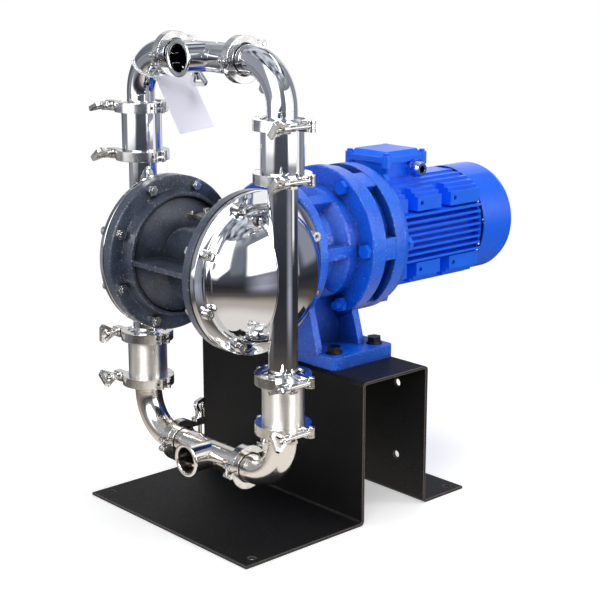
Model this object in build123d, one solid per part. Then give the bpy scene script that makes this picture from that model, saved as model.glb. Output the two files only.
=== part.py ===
from build123d import *
import math
import os
from dataclasses import dataclass

# Electric diaphragm pump: two domed stainless pump chambers either side of a cast centre
# housing, worked by a crank that a foot-mounted gearmotor turns, on a bent steel base.
# Frame: +X towards the near chamber, +Y from the pump to the motor, +Z up. The origin is
# on the floor, in the middle plane of the base and under the axis of the chambers.

os.makedirs("parts", exist_ok=True)

# Overall layout, millimetres
axis_height = 474.0
pipe_x = 192.5
valve_offset = 170.0
valve_pitch = 87.5
elbow_leg = 98.5
elbow_radius = 76.2
port_reach = 64.0

# Sanitary tube, ferrules, gaskets and clamps
tube_od = 50.8
tube_wall = 2.0
ferrule_rim = 2.85
ferrule_slope = math.radians(20)
gasket_thickness = 2.0
band_fit = 0.3
swing_bolt_d = 8.0
swing_pin_d = 6.0
lug_slot = 9.0
hinge_pin_d = 5.0
nut_fit = 0.1
run_clamp_lean = 12.0
seat_gap = 0.2


@dataclass(frozen=True)
class ClampSize:
    """Sizes of one family of two-piece clamp."""

    ferrule_od: float
    lip: float
    band_od: float
    band_width: float


run_clamp = ClampSize(ferrule_od=64.0, lip=4.0, band_od=80.0, band_width=16.0)
valve_clamp = ClampSize(ferrule_od=77.5, lip=1.8, band_od=98.0, band_width=18.0)

# Ball valves
valve_od = 73.0
valve_bore = 60.0
ball_d = 44.0
seat_bore = 38.0
seat_height = 13.0
ball_lift = 10.0
stop_pin_d = 6.0

# Pump chambers
flange_od = 283.0
flange_inner_x = 101.5
housing_flange = 18.5
diaphragm_thickness = 4.0
cover_flange = 10.5
dome_od = 236.0
dome_skirt = 7.5
dome_depth = 65.0
dome_wall = 3.0
bolt_circle = 258.0
bolt_count = 8
bolt_d = 10.0
bolt_hole_fit = 0.5
cover_washer_d = 18.0
cover_head = (17.0, 12.0)

# Centre housing
boss_od = 234.0
boss_top_od = 224.0
boss_height = 23.0
hub_x = 66.0
hub_od = 104.0
bowl_floor_depth = 12.0
back_recess = (103.0, 7.5)
drum_od = 132.0
drum_wall = 9.0
drum_front_y = -53.0
drum_flange_od = 196.0
drum_flange_t = 16.0
web_reach = 110.0
web_thickness = 9.0
neck_size = (70.0, 46.0)
neck_top = 78.0
inspection_plate = (72.0, 52.0, 6.0)

# Rod, crank and diaphragm plates
crank_throw = 6.0
roller_od = 30.0
roller_width = 18.0
yoke_gap = 0.8
yoke_bar = 7.0
rod_d = 24.0
rod_fit = 0.1
bush_od = 36.0
spigot_d = 14.0
plate_od = 136.0
plate_thickness = 6.0

# Gearbox
gearbox_front_y = 143.0
output_flange_od = 261.0
output_flange_t = 23.0
gear_body_front_od = 160.0
gear_body_od = 214.0
gear_flange_y = 264.0
gear_flange_od = 288.0
gear_flange_t = 16.0
rib_count = 6
rib_thickness = 23.0
gear_ring_t = 46.0
gear_ring_od = 282.0
groove_od = 244.0
groove_y = 19.0
lug_width = 41.0
motor_flange_t = 38.0
gear_bolt_circle = 254.0
gear_bolt_d = 16.0
gear_bolt_head = (24.0, 10.0)
drum_screw_d = 12.0
pad_half_width = 142.0
pad_front_y = 168.0
pad_length = 154.0
pad_thickness = 24.0
pad_corner = 11.0
foot_bolt_x = 112.0
foot_bolt_inset = 28.0
foot_bolt_d = 16.0
leg_thickness = 15.0
leg_front_y = 166.0
leg_rear_y = 272.0

# Cycloidal reduction: one more ring pin than the discs have lobes
ring_pins = 12
ring_pin_radius = 9.0
pin_circle_radius = 96.0
eccentricity = 4.5
disc_fit = 0.5
disc_thickness = 13.0
disc_gap = 4.0
disc_start = 5.0
output_pins = 6
output_pin_radius = 8.0
output_pin_circle = 60.0
journal_radius = 26.0
sleeve_fit = 0.1

# Output shaft and bearings
output_shaft_d = 50.0
front_bearing = (55.0, 100.0, 21.0)
rear_bearing = (65.0, 120.0, 23.0)
carrier_od = 148.0
carrier_t = 16.0
bearing_fit = 0.05

# Motor
motor_front_bearing = (25.0, 62.0, 17.0)
motor_rear_bearing = (25.0, 52.0, 15.0)
motor_core_od = 172.0
motor_bore = 148.0
fin_tip_od = 208.0
fin_pitch = 12.5
fin_thickness = 4.5
fins_per_side = 8
motor_end_od = 204.0
motor_length = 242.0
stator_bore = 104.0
rotor_air_gap = 0.6
stack_length = 160.0
fan_od = 160.0
fan_blades = 7
cover_od = 218.0
cover_wall = 2.0
cover_length = 93.0
cover_gap = 5.0
shaft_d = 25.0
fan_seat_d = 22.0

# Stepped shoulders above and below the motor's fins: rise where each step starts, half width
shoulder_steps = ((50.0, 98.0), (77.0, 90.0), (84.0, 80.0), (91.0, 64.0), (97.0, 46.0), (102.0, 26.0))
shoulder_top = 106.0
shoulder_gap = 15.0
pocket_y = (414.5, 508.5)
pocket_length = 27.0
pocket_floor_r = 88.0
side_hole_y = (440.5, 535.0)
side_hole_rise = 64.5
side_hole = (9.0, 17.0)
top_hole_x = 70.0
top_hole_y = (472.0, 487.0)
top_hole = (6.0, 10.0)

# Terminal box and cable gland
box_centre_y = 440.0
box_size = (100.0, 98.0, 31.0)
box_base_rise = 112.0
box_wall = 5.0
box_rim = 3.5
lid_size = (116.0, 117.0, 14.0)
lid_panel = 6.0
lid_ear = 18.0
screw_d = 6.0
gland_y = 457.0
gland_rise = 126.0
gland_length = 31.0
gland_bore = 14.0

# Bent base plate
base_width = 453.0
plate_t = 5.0
bend_inside = 4.0
front_edge_y = -114.0
front_wall_y = 159.0
deck_length = 166.0
deck_height = 268.0
rear_foot = 106.0
anchor_x = 206.0
anchor_inset = (30.0, 22.0)
anchor_d = 13.0
wall_hole_x = 155.0
wall_hole_z = (78.0, 220.0)
wall_hole_d = 14.0

# Hanging card and its strap
card_size = (67.0, 120.0, 0.6)
card_turn = (-37.3, -10.1, 70.6)
card_edge = 5.0
card_fit = 0.3
strap_angle = 42.5
strap_d = 3.4
link_radius = 5.0

# Sizes worked out from the ones above
tube_r = tube_od / 2
tube_bore_r = tube_r - tube_wall
bowl_r = dome_od / 2 - 8
flange_r = flange_od / 2
housing_face_x = flange_inner_x + housing_flange
cover_seat_x = housing_face_x + diaphragm_thickness
cover_face_x = cover_seat_x + cover_flange
ring_y = gear_flange_y + gear_flange_t
motor_flange_y = ring_y + gear_ring_t
motor_y = motor_flange_y + motor_flange_t
motor_end_y = motor_y + motor_length
run_x = pipe_x - elbow_leg
run_rise = valve_offset + valve_pitch + elbow_leg
deck_end_y = front_wall_y + deck_length
rear_edge_y = deck_end_y + rear_foot
pad_rear_y = pad_front_y + pad_length
valve_centre = valve_offset + valve_pitch / 2

# Working planes: chamber axis along X, drive axis along Y
chamber_axis = Plane(origin=(0, 0, axis_height), x_dir=(0, 1, 0), z_dir=(1, 0, 0))
far_chamber_axis = Plane(origin=(0, 0, axis_height), x_dir=(0, -1, 0), z_dir=(-1, 0, 0))
drive_axis = Plane(origin=(0, 0, axis_height), x_dir=(1, 0, 0), z_dir=(0, 1, 0))


def turned(points, plane=Plane.XY, arc=360.0):
    """A solid of revolution from (radius, distance) points about the plane's normal."""
    profile = Plane.XZ * make_face(Polyline(*points, close=True))
    return plane.location * revolve(profile, Axis.Z, arc)


def bar(start, end, radius, turn=0.0):
    """A round bar between two points; its seam can be turned about its axis."""
    reach = Vector(*end) - Vector(*start)
    plane = Plane(origin=start, z_dir=reach)
    rod = Cylinder(radius, reach.length, align=(Align.CENTER, Align.CENTER, Align.MIN))
    return plane.location * Rot(0, 0, turn) * rod


def block(x_range, y_range, z_range):
    """A rectangular block between two limits on each axis."""
    size = [b - a for a, b in (x_range, y_range, z_range)]
    middle = [(a + b) / 2 for a, b in (x_range, y_range, z_range)]
    return Pos(*middle) * Box(*size)


def hexagon(start, end, across_flats, turn=0.0):
    """A hexagonal prism between two points, as a nut or a bolt head."""
    reach = Vector(*end) - Vector(*start)
    plane = Plane(origin=start, z_dir=reach)
    outline = Rot(0, 0, turn) * RegularPolygon(across_flats / math.sqrt(3), 6)
    return plane.location * extrude(outline, reach.length)


def tube(start, end, radius, bore):
    """A round tube between two points."""
    return bar(start, end, radius) - bar(start, end, bore)


def save(name, *shapes):
    """Writes one named piece, or one set of identical pieces."""
    solids = [solid for shape in shapes for solid in shape.solids()]
    whole = solids[0] if len(solids) == 1 else Compound(children=solids)
    export_step(whole, f"parts/{name}.step")


def ring_places(radius, count, first=0.0):
    """Evenly spaced (a, b) places on a circle, first one at an angle in degrees."""
    angles = [math.radians(first + 360 * i / count) for i in range(count)]
    return [(radius * math.cos(a), radius * math.sin(a)) for a in angles]


# Ferrules, clamps and tube fittings


def ferrule_back(size, body_radius):
    """Axial length of a ferrule, from its face to where its slope meets the tube."""
    return ferrule_rim + (size.ferrule_od / 2 - body_radius) * math.tan(ferrule_slope)


def ferrule(size, body_radius):
    """A solid ferrule: its face is at height 0 and its tube side lies below."""
    edge = size.ferrule_od / 2
    back = ferrule_back(size, body_radius)
    return turned([(0, 0), (edge, 0), (edge, -ferrule_rim), (body_radius, -back), (0, -back)])


def gasket(size, bore):
    """A flat seal between two ferrule faces, centred on the clamp plane."""
    half = gasket_thickness / 2
    edge = size.ferrule_od / 2
    return turned([(bore, -half), (edge, -half), (edge, half), (bore, half)])


def clamp_band(size):
    """Two hinged half bands with a V groove, a fork lug and a slotted lug."""
    edge = size.ferrule_od / 2
    outer = size.band_od / 2
    half = size.band_width / 2
    groove = gasket_thickness / 2 + ferrule_rim + band_fit
    mouth = groove + size.lip * math.tan(ferrule_slope)
    lip_r = edge - size.lip
    profile = [(edge + band_fit, -groove), (edge + band_fit, groove), (lip_r, mouth), (lip_r, half),
               (outer, half), (outer, -half), (lip_r, -half), (lip_r, -mouth)]
    ring = turned(profile)
    bolt_x, fork_y, slot_y = swing_places(size)
    hinge_x = outer + hinge_pin_d / 2
    split_far = fork_y - 9.0
    split_near = slot_y + 14.0
    ring -= block((0, outer + 1), (split_near, split_far), (-half - 1, half + 1))
    ring -= block((-outer - 1, 0), (-1.0, 1.0), (-half - 1, half + 1))
    fork = block((outer - 7, bolt_x), (split_far, fork_y + 7), (-half, half))
    fork += bar((bolt_x, fork_y, -half), (bolt_x, fork_y, half), 7.0)
    slotted = block((edge - 1, bolt_x + 8), (slot_y, split_near), (-half, half))
    hinges = Part()
    for side in (-1, 1):
        hinges += bar((-hinge_x, side * 8, -half), (-hinge_x, side * 8, half), 5.0)
        hinges += block((-hinge_x, 4 - outer), (side * 8 - 5 * (side < 0), side * 8 + 5 * (side > 0)),
                        (-half, half))
    body = ring + (fork + slotted + hinges - bar((0, 0, -half), (0, 0, half), edge + band_fit))
    body -= block((bolt_x - 7.5, bolt_x + 20), (slot_y - 1, fork_y + 20), (-lug_slot / 2, lug_slot / 2))
    body -= block((-hinge_x - 8, 5 - outer), (-14, 14), (-2.2, 2.2))
    body -= bar((bolt_x, fork_y, -half - 1), (bolt_x, fork_y, half + 1), swing_pin_d / 2)
    for side in (-1, 1):
        body -= bar((-hinge_x, side * 8, -half - 1), (-hinge_x, side * 8, half + 1), hinge_pin_d / 2)
    return body


def swing_places(size):
    """Swing bolt offset, pivot place and the face that the nut bears on."""
    outer = size.band_od / 2
    return outer + 4.0, 15.0, -36.0


def clamp_bolt(size):
    """Swing bolt with its eye and pivot, and the hinge link with its two pins."""
    bolt_x, fork_y, slot_y = swing_places(size)
    half = size.band_width / 2
    hinge_x = size.band_od / 2 + hinge_pin_d / 2
    eye = bar((bolt_x, fork_y, -4), (bolt_x, fork_y, 4), 6.5)
    shank = bar((bolt_x, fork_y, 0), (bolt_x, slot_y - 22, 0), swing_bolt_d / 2)
    pivot = bar((bolt_x, fork_y, -half - 1.5), (bolt_x, fork_y, half + 1.5), swing_pin_d / 2)
    link = block((-hinge_x - 3.5, -hinge_x + 3.5), (-8, 8), (-2, 2))
    for side in (-1, 1):
        link += bar((-hinge_x, side * 8, -2), (-hinge_x, side * 8, 2), 3.5)
        link += bar((-hinge_x, side * 8, -half - 1), (-hinge_x, side * 8, half + 1), hinge_pin_d / 2)
    return [eye + shank + pivot, link]


def loop_nut():
    """A clamp nut with a looped grip: it seats at height 0 and its axis is the normal."""
    hub = bar((0, 0, seat_gap), (0, 0, 12), 8.0)
    grip = FilletPolyline((-6, 5), (-19, 27), (-13, 34), (13, 34), (19, 27), (6, 5), radius=4, close=True)
    window = FilletPolyline((-3.5, 14), (-12, 27), (12, 27), (3.5, 14), radius=2, close=True)
    plate = make_face(grip) - make_face(window)
    body = hub + Plane.XZ * extrude(plate, 3.5, both=True)
    bore = bar((0, 0, 0), (0, 0, 26), swing_bolt_d / 2 + nut_fit)
    return body - bore


def clamp_places():
    """Name, clamp size, plane and nut angle of every clamp on the pump."""
    places = []
    turns = {"near": (52, 50, 22, 120), "far": (22, 38, 88, 140)}
    heights = (valve_offset + valve_pitch, valve_offset, -valve_offset, -valve_offset - valve_pitch)
    labels = ("discharge_top", "discharge_low", "suction_top", "suction_low")
    for side, sign in (("near", 1), ("far", -1)):
        for label, height, turn in zip(labels, heights, turns[side]):
            plane = Plane(origin=(sign * pipe_x, 0, axis_height + height),
                          x_dir=(sign, 0, 0), z_dir=(0, 0, sign))
            places.append((f"{side}_{label}", valve_clamp, plane, turn))
    for label, rise, lean, turn in (("discharge_run", 1, run_clamp_lean, 80), ("suction_run", -1, 0.0, 25)):
        lean_x = (0, math.cos(math.radians(lean)), math.sin(math.radians(lean)))
        for side, sign in (("near", 1), ("far", -1)):
            plane = Plane(origin=(sign * run_x, 0, axis_height + rise * run_rise),
                          x_dir=lean_x, z_dir=(rise, 0, 0))
            places.append((f"{side}_{label}", run_clamp, plane, turn))
    return places


def nut_plane(size, plane):
    """The plane that a clamp's nut turns in: origin on its seat, normal along its bolt."""
    bolt_x, fork_y, slot_y = swing_places(size)
    origin = plane.from_local_coords((bolt_x, slot_y, 0))
    return Plane(origin=origin, x_dir=plane.x_dir, z_dir=-plane.y_dir)


places = clamp_places()
bands = []
swing_bolts = []
gaskets = []
for name, size, plane, turn in places:
    bands.append(plane.location * clamp_band(size))
    swing_bolts += [plane.location * piece for piece in clamp_bolt(size)]
    gaskets.append(plane.location * gasket(size, tube_bore_r))
    seat = nut_plane(size, plane)
    save(f"nut_{name}", seat.location * Rot(0, 0, turn) * loop_nut())
save("clamp_bands", *bands)
save("clamp_bolts", *swing_bolts)
save("clamp_gaskets", *gaskets)


def elbow():
    """A 90 degree elbow: it rises from a valve clamp and ends at a run clamp along +x."""
    face = gasket_thickness / 2
    start = face + ferrule_back(valve_clamp, tube_r) - 1
    route = FilletPolyline((0, 0, start), (0, 0, elbow_leg), (elbow_leg - face - 2, 0, elbow_leg),
                           radius=elbow_radius)
    section = Plane(origin=(0, 0, start), z_dir=(0, 0, 1))
    body = sweep(section * Circle(tube_r), route)
    body += Pos(0, 0, face) * Rot(180, 0, 0) * ferrule(valve_clamp, tube_r)
    body += Pos(elbow_leg - face, 0, elbow_leg) * Rot(0, 90, 0) * ferrule(run_clamp, tube_r)
    bore_route = FilletPolyline((0, 0, 0), (0, 0, elbow_leg), (elbow_leg, 0, elbow_leg),
                                radius=elbow_radius)
    return body - sweep(Plane.XY * Circle(tube_bore_r), bore_route)


elbows = []
for sign in (1, -1):
    for rise in (1, -1):
        height = axis_height + rise * (valve_offset + valve_pitch)
        plane = Plane(origin=(sign * pipe_x, 0, height), x_dir=(-sign, 0, 0), z_dir=(0, 0, rise))
        elbows.append(plane.location * elbow())
save("manifold_elbows", *elbows)


def tee():
    """A manifold tee: a run along X between two clamps and a branch port towards -Y."""
    reach = run_x - gasket_thickness / 2
    seam = 45.0
    ends = [Plane(origin=(reach, 0, 0), z_dir=(1, 0, 0)), Plane(origin=(-reach, 0, 0), z_dir=(-1, 0, 0)),
            Plane(origin=(0, -port_reach, 0), z_dir=(0, -1, 0))]
    body = bar((2 - reach, 0, 0), (reach - 2, 0, 0), tube_r, seam)
    body += bar((0, 0, 0), (0, 2 - port_reach, 0), tube_r, seam)
    for end in ends:
        body += end.location * Rot(0, 0, seam) * ferrule(run_clamp, tube_r)
    bore = bar((-reach - 1, 0, 0), (reach + 1, 0, 0), tube_bore_r, seam)
    bore += bar((0, 0, 0), (0, -port_reach - 1, 0), tube_bore_r, seam)
    return body - bore


save("discharge_tee", Pos(0, 0, axis_height + run_rise) * tee())
save("suction_tee", Pos(0, 0, axis_height - run_rise) * tee())


def valve_body():
    """A ball valve body between two clamps, centred: the seat is low, the stop pin high."""
    half = valve_pitch / 2 - gasket_thickness / 2
    body = bar((0, 0, -half + 2), (0, 0, half - 2), valve_od / 2)
    body += Pos(0, 0, half) * ferrule(valve_clamp, valve_od / 2)
    body += Pos(0, 0, -half) * Rot(180, 0, 0) * ferrule(valve_clamp, valve_od / 2)
    seat_z = -half + seat_height
    rim = half - 6.0
    cavity = [(0, -half - 1), (seat_bore / 2, -half - 1), (seat_bore / 2, seat_z),
              (valve_bore / 2, seat_z + 7), (valve_bore / 2, rim), (tube_bore_r, rim),
              (tube_bore_r, half + 1), (0, half + 1)]
    body -= turned(cavity)
    pin_z = ball_rest() + ball_d / 2 + ball_lift + 0.5 + stop_pin_d / 2
    pin = bar((-valve_od / 2 + 2, 0, pin_z), (valve_od / 2 - 2, 0, pin_z), stop_pin_d / 2)
    return body + pin


def ball_rest():
    """Height of a ball's centre above the middle of its valve body, at rest on its seat."""
    seat_z = -valve_pitch / 2 + gasket_thickness / 2 + seat_height
    return seat_z + math.sqrt((ball_d / 2) ** 2 - (seat_bore / 2) ** 2) + seat_gap


valves = {"upper": axis_height + valve_centre, "lower": axis_height - valve_centre}
for level, height in valves.items():
    bodies = [Pos(sign * pipe_x, 0, height) * valve_body() for sign in (1, -1)]
    save(f"{level}_valve_bodies", *bodies)
    for side, sign in (("near", 1), ("far", -1)):
        ball = Pos(sign * pipe_x, 0, height + ball_rest()) * Sphere(ball_d / 2)
        save(f"{level}_{side}_ball", ball)


# Chamber covers, diaphragms and their bolts


def chamber_cover():
    """A domed cover on the chamber axis, with the flow pipe let into its crown."""
    dome_r = dome_od / 2
    skirt_x = cover_face_x + dome_skirt
    crown_x = skirt_x + dome_depth
    inner_r = dome_r - dome_wall
    outside = EllipticalCenterArc((0, skirt_x), dome_r, dome_depth)
    inside = EllipticalCenterArc((0, skirt_x), inner_r, dome_depth - dome_wall)
    rim = Polyline((inner_r, skirt_x), (inner_r, cover_seat_x), (flange_r, cover_seat_x),
                   (flange_r, cover_face_x - 1.5), (flange_r - 1.5, cover_face_x),
                   (dome_r + 2, cover_face_x), (dome_r, cover_face_x + 2), (dome_r, skirt_x))
    crown = Line((0, crown_x), (0, crown_x - dome_wall))
    shell = revolve(Plane.XZ * make_face([outside, inside, rim, crown]), Axis.Z)
    hollow_rim = Polyline((inner_r, skirt_x), (inner_r, cover_seat_x - 1), (0, cover_seat_x - 1),
                          (0, crown_x - dome_wall))
    hollow = revolve(Plane.XZ * make_face([inside, hollow_rim]), Axis.Z)
    end = valve_offset - gasket_thickness / 2
    pipe = bar((0, -end + 2, pipe_x), (0, end - 2, pipe_x), tube_r)
    for sign in (1, -1):
        face = Plane(origin=(0, sign * end, pipe_x), z_dir=(0, sign, 0))
        pipe += face.location * ferrule(valve_clamp, tube_r)
    bore = bar((0, -end - 1, pipe_x), (0, end + 1, pipe_x), tube_bore_r)
    cover = shell + (pipe - hollow) - bore
    for a, b in ring_places(bolt_circle / 2, bolt_count, 22.5):
        hole = bolt_d / 2 + bolt_hole_fit
        cover -= bar((a, b, cover_seat_x - 1), (a, b, cover_face_x + 1), hole)
    return cover


cover = chamber_cover()
save("near_cover", chamber_axis.location * cover)
save("far_cover", far_chamber_axis.location * cover)


def cover_bolt(a, b):
    """A socket head screw with washers and a nut, clamping cover, diaphragm and housing."""
    nut_height = 8.0
    washer = 1.6
    inner = flange_inner_x
    outer = cover_face_x
    body = bar((a, b, inner - nut_height - 2), (a, b, outer + 2), bolt_d / 2)
    body += bar((a, b, outer), (a, b, outer + washer), cover_washer_d / 2)
    head_d, head_height = cover_head
    top = outer + washer + head_height
    body += bar((a, b, outer + washer), (a, b, top), head_d / 2)
    body += hexagon((a, b, inner - nut_height), (a, b, inner), 17.0)
    socket = hexagon((a, b, top - 6.5), (a, b, top + 1), 8.0)
    return body - socket


bolts = [cover_bolt(a, b) for a, b in ring_places(bolt_circle / 2, bolt_count, 22.5)]
cover_bolts = [plane.location * bolt for plane in (chamber_axis, far_chamber_axis) for bolt in bolts]
save("cover_bolts", *cover_bolts)


def diaphragm():
    """A moulded diaphragm: clamped rim, one deep fold and a flat middle."""
    base = housing_face_x
    t = diaphragm_thickness
    middle = plate_od / 2 + 3
    fold_in = middle + 6
    fold_out = bowl_r - 10
    rim = bowl_r - 2
    depth = 9.0
    bore = spigot_d / 2
    points = [(bore, base), (middle, base), (fold_in, base - depth), (fold_out, base - depth),
              (rim, base), (flange_r - 1, base), (flange_r - 1, base + t), (rim - 1, base + t),
              (fold_out - 1, base + t - depth), (fold_in + 1, base + t - depth),
              (middle + 1, base + t), (bore, base + t)]
    body = turned(points)
    for a, b in ring_places(bolt_circle / 2, bolt_count, 22.5):
        body -= bar((a, b, base - 1), (a, b, base + t + 1), bolt_d / 2 + bolt_hole_fit)
    return body


save("near_diaphragm", chamber_axis.location * diaphragm())
save("far_diaphragm", far_chamber_axis.location * diaphragm())


def diaphragm_plates():
    """Inner and outer plates that hold the diaphragm's middle on the rod."""
    base = housing_face_x
    front = base + diaphragm_thickness
    r = plate_od / 2
    bore = spigot_d / 2
    inner = turned([(bore, base - plate_thickness), (r - 4, base - plate_thickness), (r, base - 3),
                    (r, base), (bore, base)])
    outer = turned([(bore, front), (r, front), (r, front + 3), (r - 6, front + plate_thickness),
                    (22, front + plate_thickness + 4), (bore, front + plate_thickness + 4)])
    return [inner, outer]


plates = [plane.location * plate for plane in (chamber_axis, far_chamber_axis)
          for plate in diaphragm_plates()]
save("diaphragm_plates", *plates)


# Centre housing


def centre_housing():
    """Cast housing: two chamber backs, a crankcase drum, a web and an inspection neck."""
    drum_r = drum_od / 2
    cavity_r = drum_r - drum_wall
    boss_x = flange_inner_x - boss_height
    floor_x = hub_x + bowl_floor_depth
    floor_r = hub_od / 2 + 6
    bush_r = bush_od / 2
    recess_r, recess_depth = back_recess
    recess_x = boss_x + recess_depth
    back = [(0, 0), (hub_od / 2 - 6, 0), (hub_od / 2, hub_x), (recess_r - 3, recess_x), (recess_r, recess_x),
            (recess_r + 3, boss_x), (boss_top_od / 2, boss_x), (boss_od / 2, flange_inner_x),
            (flange_r - 1.5, flange_inner_x),
            (flange_r, flange_inner_x + 1.5), (flange_r, housing_face_x), (bowl_r, housing_face_x),
            (bowl_r - 8, housing_face_x - 20), (floor_r, floor_x), (bush_r + 7, floor_x),
            (bush_r + 7, floor_x + 14), (0, floor_x + 14)]
    body = Part()
    for plane in (chamber_axis, far_chamber_axis):
        body += turned(back, plane)
    rear = gearbox_front_y
    drum = [(0, drum_front_y), (drum_r - 3, drum_front_y), (drum_r, drum_front_y + 3),
            (drum_r, rear - drum_flange_t - 8), (drum_r + 8, rear - drum_flange_t),
            (drum_flange_od / 2, rear - drum_flange_t), (drum_flange_od / 2, rear), (0, rear)]
    body += turned(drum, drive_axis)
    inner_x = flange_inner_x - 2
    web = block((-inner_x, inner_x), (-web_reach, web_reach),
                (axis_height - web_thickness / 2, axis_height + web_thickness / 2))
    outside = Part()
    for plane in (chamber_axis, far_chamber_axis):
        outside += turned([(0, floor_x), (floor_r, floor_x), (bowl_r - 8, housing_face_x - 20),
                           (bowl_r, housing_face_x), (0, housing_face_x)], plane)
    body += web - outside
    nx, ny = neck_size
    body += block((-nx / 2, nx / 2), (-ny / 2, ny / 2), (axis_height, axis_height + neck_top))
    cavity = turned([(0, drum_front_y + drum_wall), (cavity_r, drum_front_y + drum_wall),
                     (cavity_r, rear + 1), (0, rear + 1)], drive_axis)
    cavity += block((8 - nx / 2, nx / 2 - 8), (8 - ny / 2, ny / 2 - 8),
                    (axis_height, axis_height + neck_top + 1))
    body -= cavity
    body -= bar((-cover_seat_x, 0, axis_height), (cover_seat_x, 0, axis_height), bush_r)
    for plane in (chamber_axis, far_chamber_axis):
        holes = ring_places(bolt_circle / 2, bolt_count, 22.5)
        for a, b in holes:
            hole = bar((a, b, flange_inner_x - 1), (a, b, housing_face_x + 1), bolt_d / 2 + bolt_hole_fit)
            body -= plane.location * hole
    for a, b in drum_bolt_places():
        body -= bar((a, rear - drum_flange_t - 1, axis_height + b), (a, rear + 1, axis_height + b), 6.5)
    for x, y in inspection_screw_places():
        body -= bar((x, y, axis_height + neck_top - 12), (x, y, axis_height + neck_top + 1), screw_d / 2)
    return body


def drum_bolt_places():
    """Places of the screws that join the crankcase drum to the gearbox."""
    return ring_places((drum_od + drum_flange_od) / 4 + 3, 6, 30)


def inspection_screw_places():
    """Places of the screws of the inspection plate."""
    nx, ny = neck_size
    return [(sx * (nx / 2 - 4), sy * (ny / 2 - 4)) for sx in (-1, 1) for sy in (-1, 1)]


def housing_solids():
    """The casting as its core, its front shelf and its two chamber backs.

    They meet face to face, so that collision leaves the bays between backs and web open.
    """
    whole = centre_housing()
    reach = 2 * flange_r
    heights = (axis_height - reach, axis_height + reach)
    side = hub_x + 0.05
    front = drum_front_y - 1
    rear = gearbox_front_y + 1
    root_y = gearbox_front_y - drum_flange_t - 8.5
    core = block((-side, side), (front, rear), heights)
    core += block((1.5 - flange_inner_x, flange_inner_x - 1.5), (root_y, rear), heights)
    shelf = block((-side, side), (-reach, front), heights)
    return [whole & core, whole & shelf, whole - core - shelf]


save("centre_housing", *housing_solids())

plate_x, plate_y, plate_z = inspection_plate
plate_bottom = axis_height + neck_top
inspection = Pos(0, 0, plate_bottom + plate_z / 2) * Box(plate_x, plate_y, plate_z)
for x, y in inspection_screw_places():
    inspection -= bar((x, y, plate_bottom - 1), (x, y, plate_bottom + plate_z + 1), screw_d / 2 + 0.3)
save("inspection_plate", inspection)


def cover_screw(x, y, seat, depth):
    """A small hexagon screw standing on a seat, with its thread below."""
    shank = bar((x, y, seat - depth), (x, y, seat + 1), screw_d / 2 - 0.1)
    return shank + hexagon((x, y, seat), (x, y, seat + 4.5), 10.0)


# Rod with its yoke, bushes and crank roller


def yoke_rod():
    """The diaphragm rod: a slotted yoke in the middle and a round rod to each side."""
    window_x = roller_od / 2 + 2 * crank_throw + yoke_gap
    window_z = roller_od / 2 + crank_throw + yoke_gap
    half_x = window_x + yoke_bar
    half_z = window_z + yoke_bar
    depth = roller_width / 2 + 2
    frame = RectangleRounded(2 * half_x, 2 * half_z, 6) - RectangleRounded(2 * window_x, 2 * window_z, 4)
    body = Pos(0, 0, axis_height) * (Plane.XZ * extrude(frame, depth, both=True))
    inner = housing_face_x - plate_thickness
    tip = cover_seat_x + plate_thickness + 8
    for sign in (1, -1):
        body += bar((sign * (half_x - 1), 0, axis_height), (sign * inner, 0, axis_height), rod_d / 2)
        body += bar((sign * inner, 0, axis_height), (sign * tip, 0, axis_height), spigot_d / 2)
    return body


save("yoke_rod", yoke_rod())

bush_start = hub_x - 10
bush_end = hub_x + 26
bushes = [tube((sign * bush_start, 0, axis_height), (sign * bush_end, 0, axis_height),
               bush_od / 2, rod_d / 2 + rod_fit) for sign in (1, -1)]
save("rod_bushes", *bushes)

crank_pin_d = 18.0
roller_half = roller_width / 2
roller_x = crank_throw
save("crank_roller", tube((roller_x, -roller_half, axis_height), (roller_x, roller_half, axis_height),
                          roller_od / 2, crank_pin_d / 2 + sleeve_fit))


# Gearbox


def gearbox_bore():
    """Hollow of the gearbox housing: bearing seats, shaft space and carrier space."""
    front = gearbox_front_y
    fr = front_bearing[1] / 2 + bearing_fit
    rr = rear_bearing[1] / 2 + bearing_fit
    f_seat = front + 6
    f_end = f_seat + front_bearing[2]
    r_end = gear_flange_y - 12
    r_seat = r_end - rear_bearing[2]
    end = ring_y + 1
    points = [(0, front - 1), (output_shaft_d / 2 + 6, front - 1), (output_shaft_d / 2 + 6, f_seat),
              (fr, f_seat), (fr, f_end), (fr - 4, f_end), (fr - 4, r_seat), (rr, r_seat), (rr, r_end),
              (carrier_od / 2 + 4, r_end), (carrier_od / 2 + 4, end), (0, end)]
    return turned(points, drive_axis)


def gearbox_leg(front_y):
    """One transverse leg: it narrows from the pad up to the body."""
    top = axis_height - 60
    pad_top = deck_height + pad_thickness
    outline = Polyline((-100, pad_top - 2), (-78, 366), (-68, top), (68, top), (78, 366),
                       (100, pad_top - 2), close=True)
    leg = extrude(Plane.XZ * make_face(outline), -leg_thickness)
    return Pos(0, front_y, 0) * leg


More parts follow.
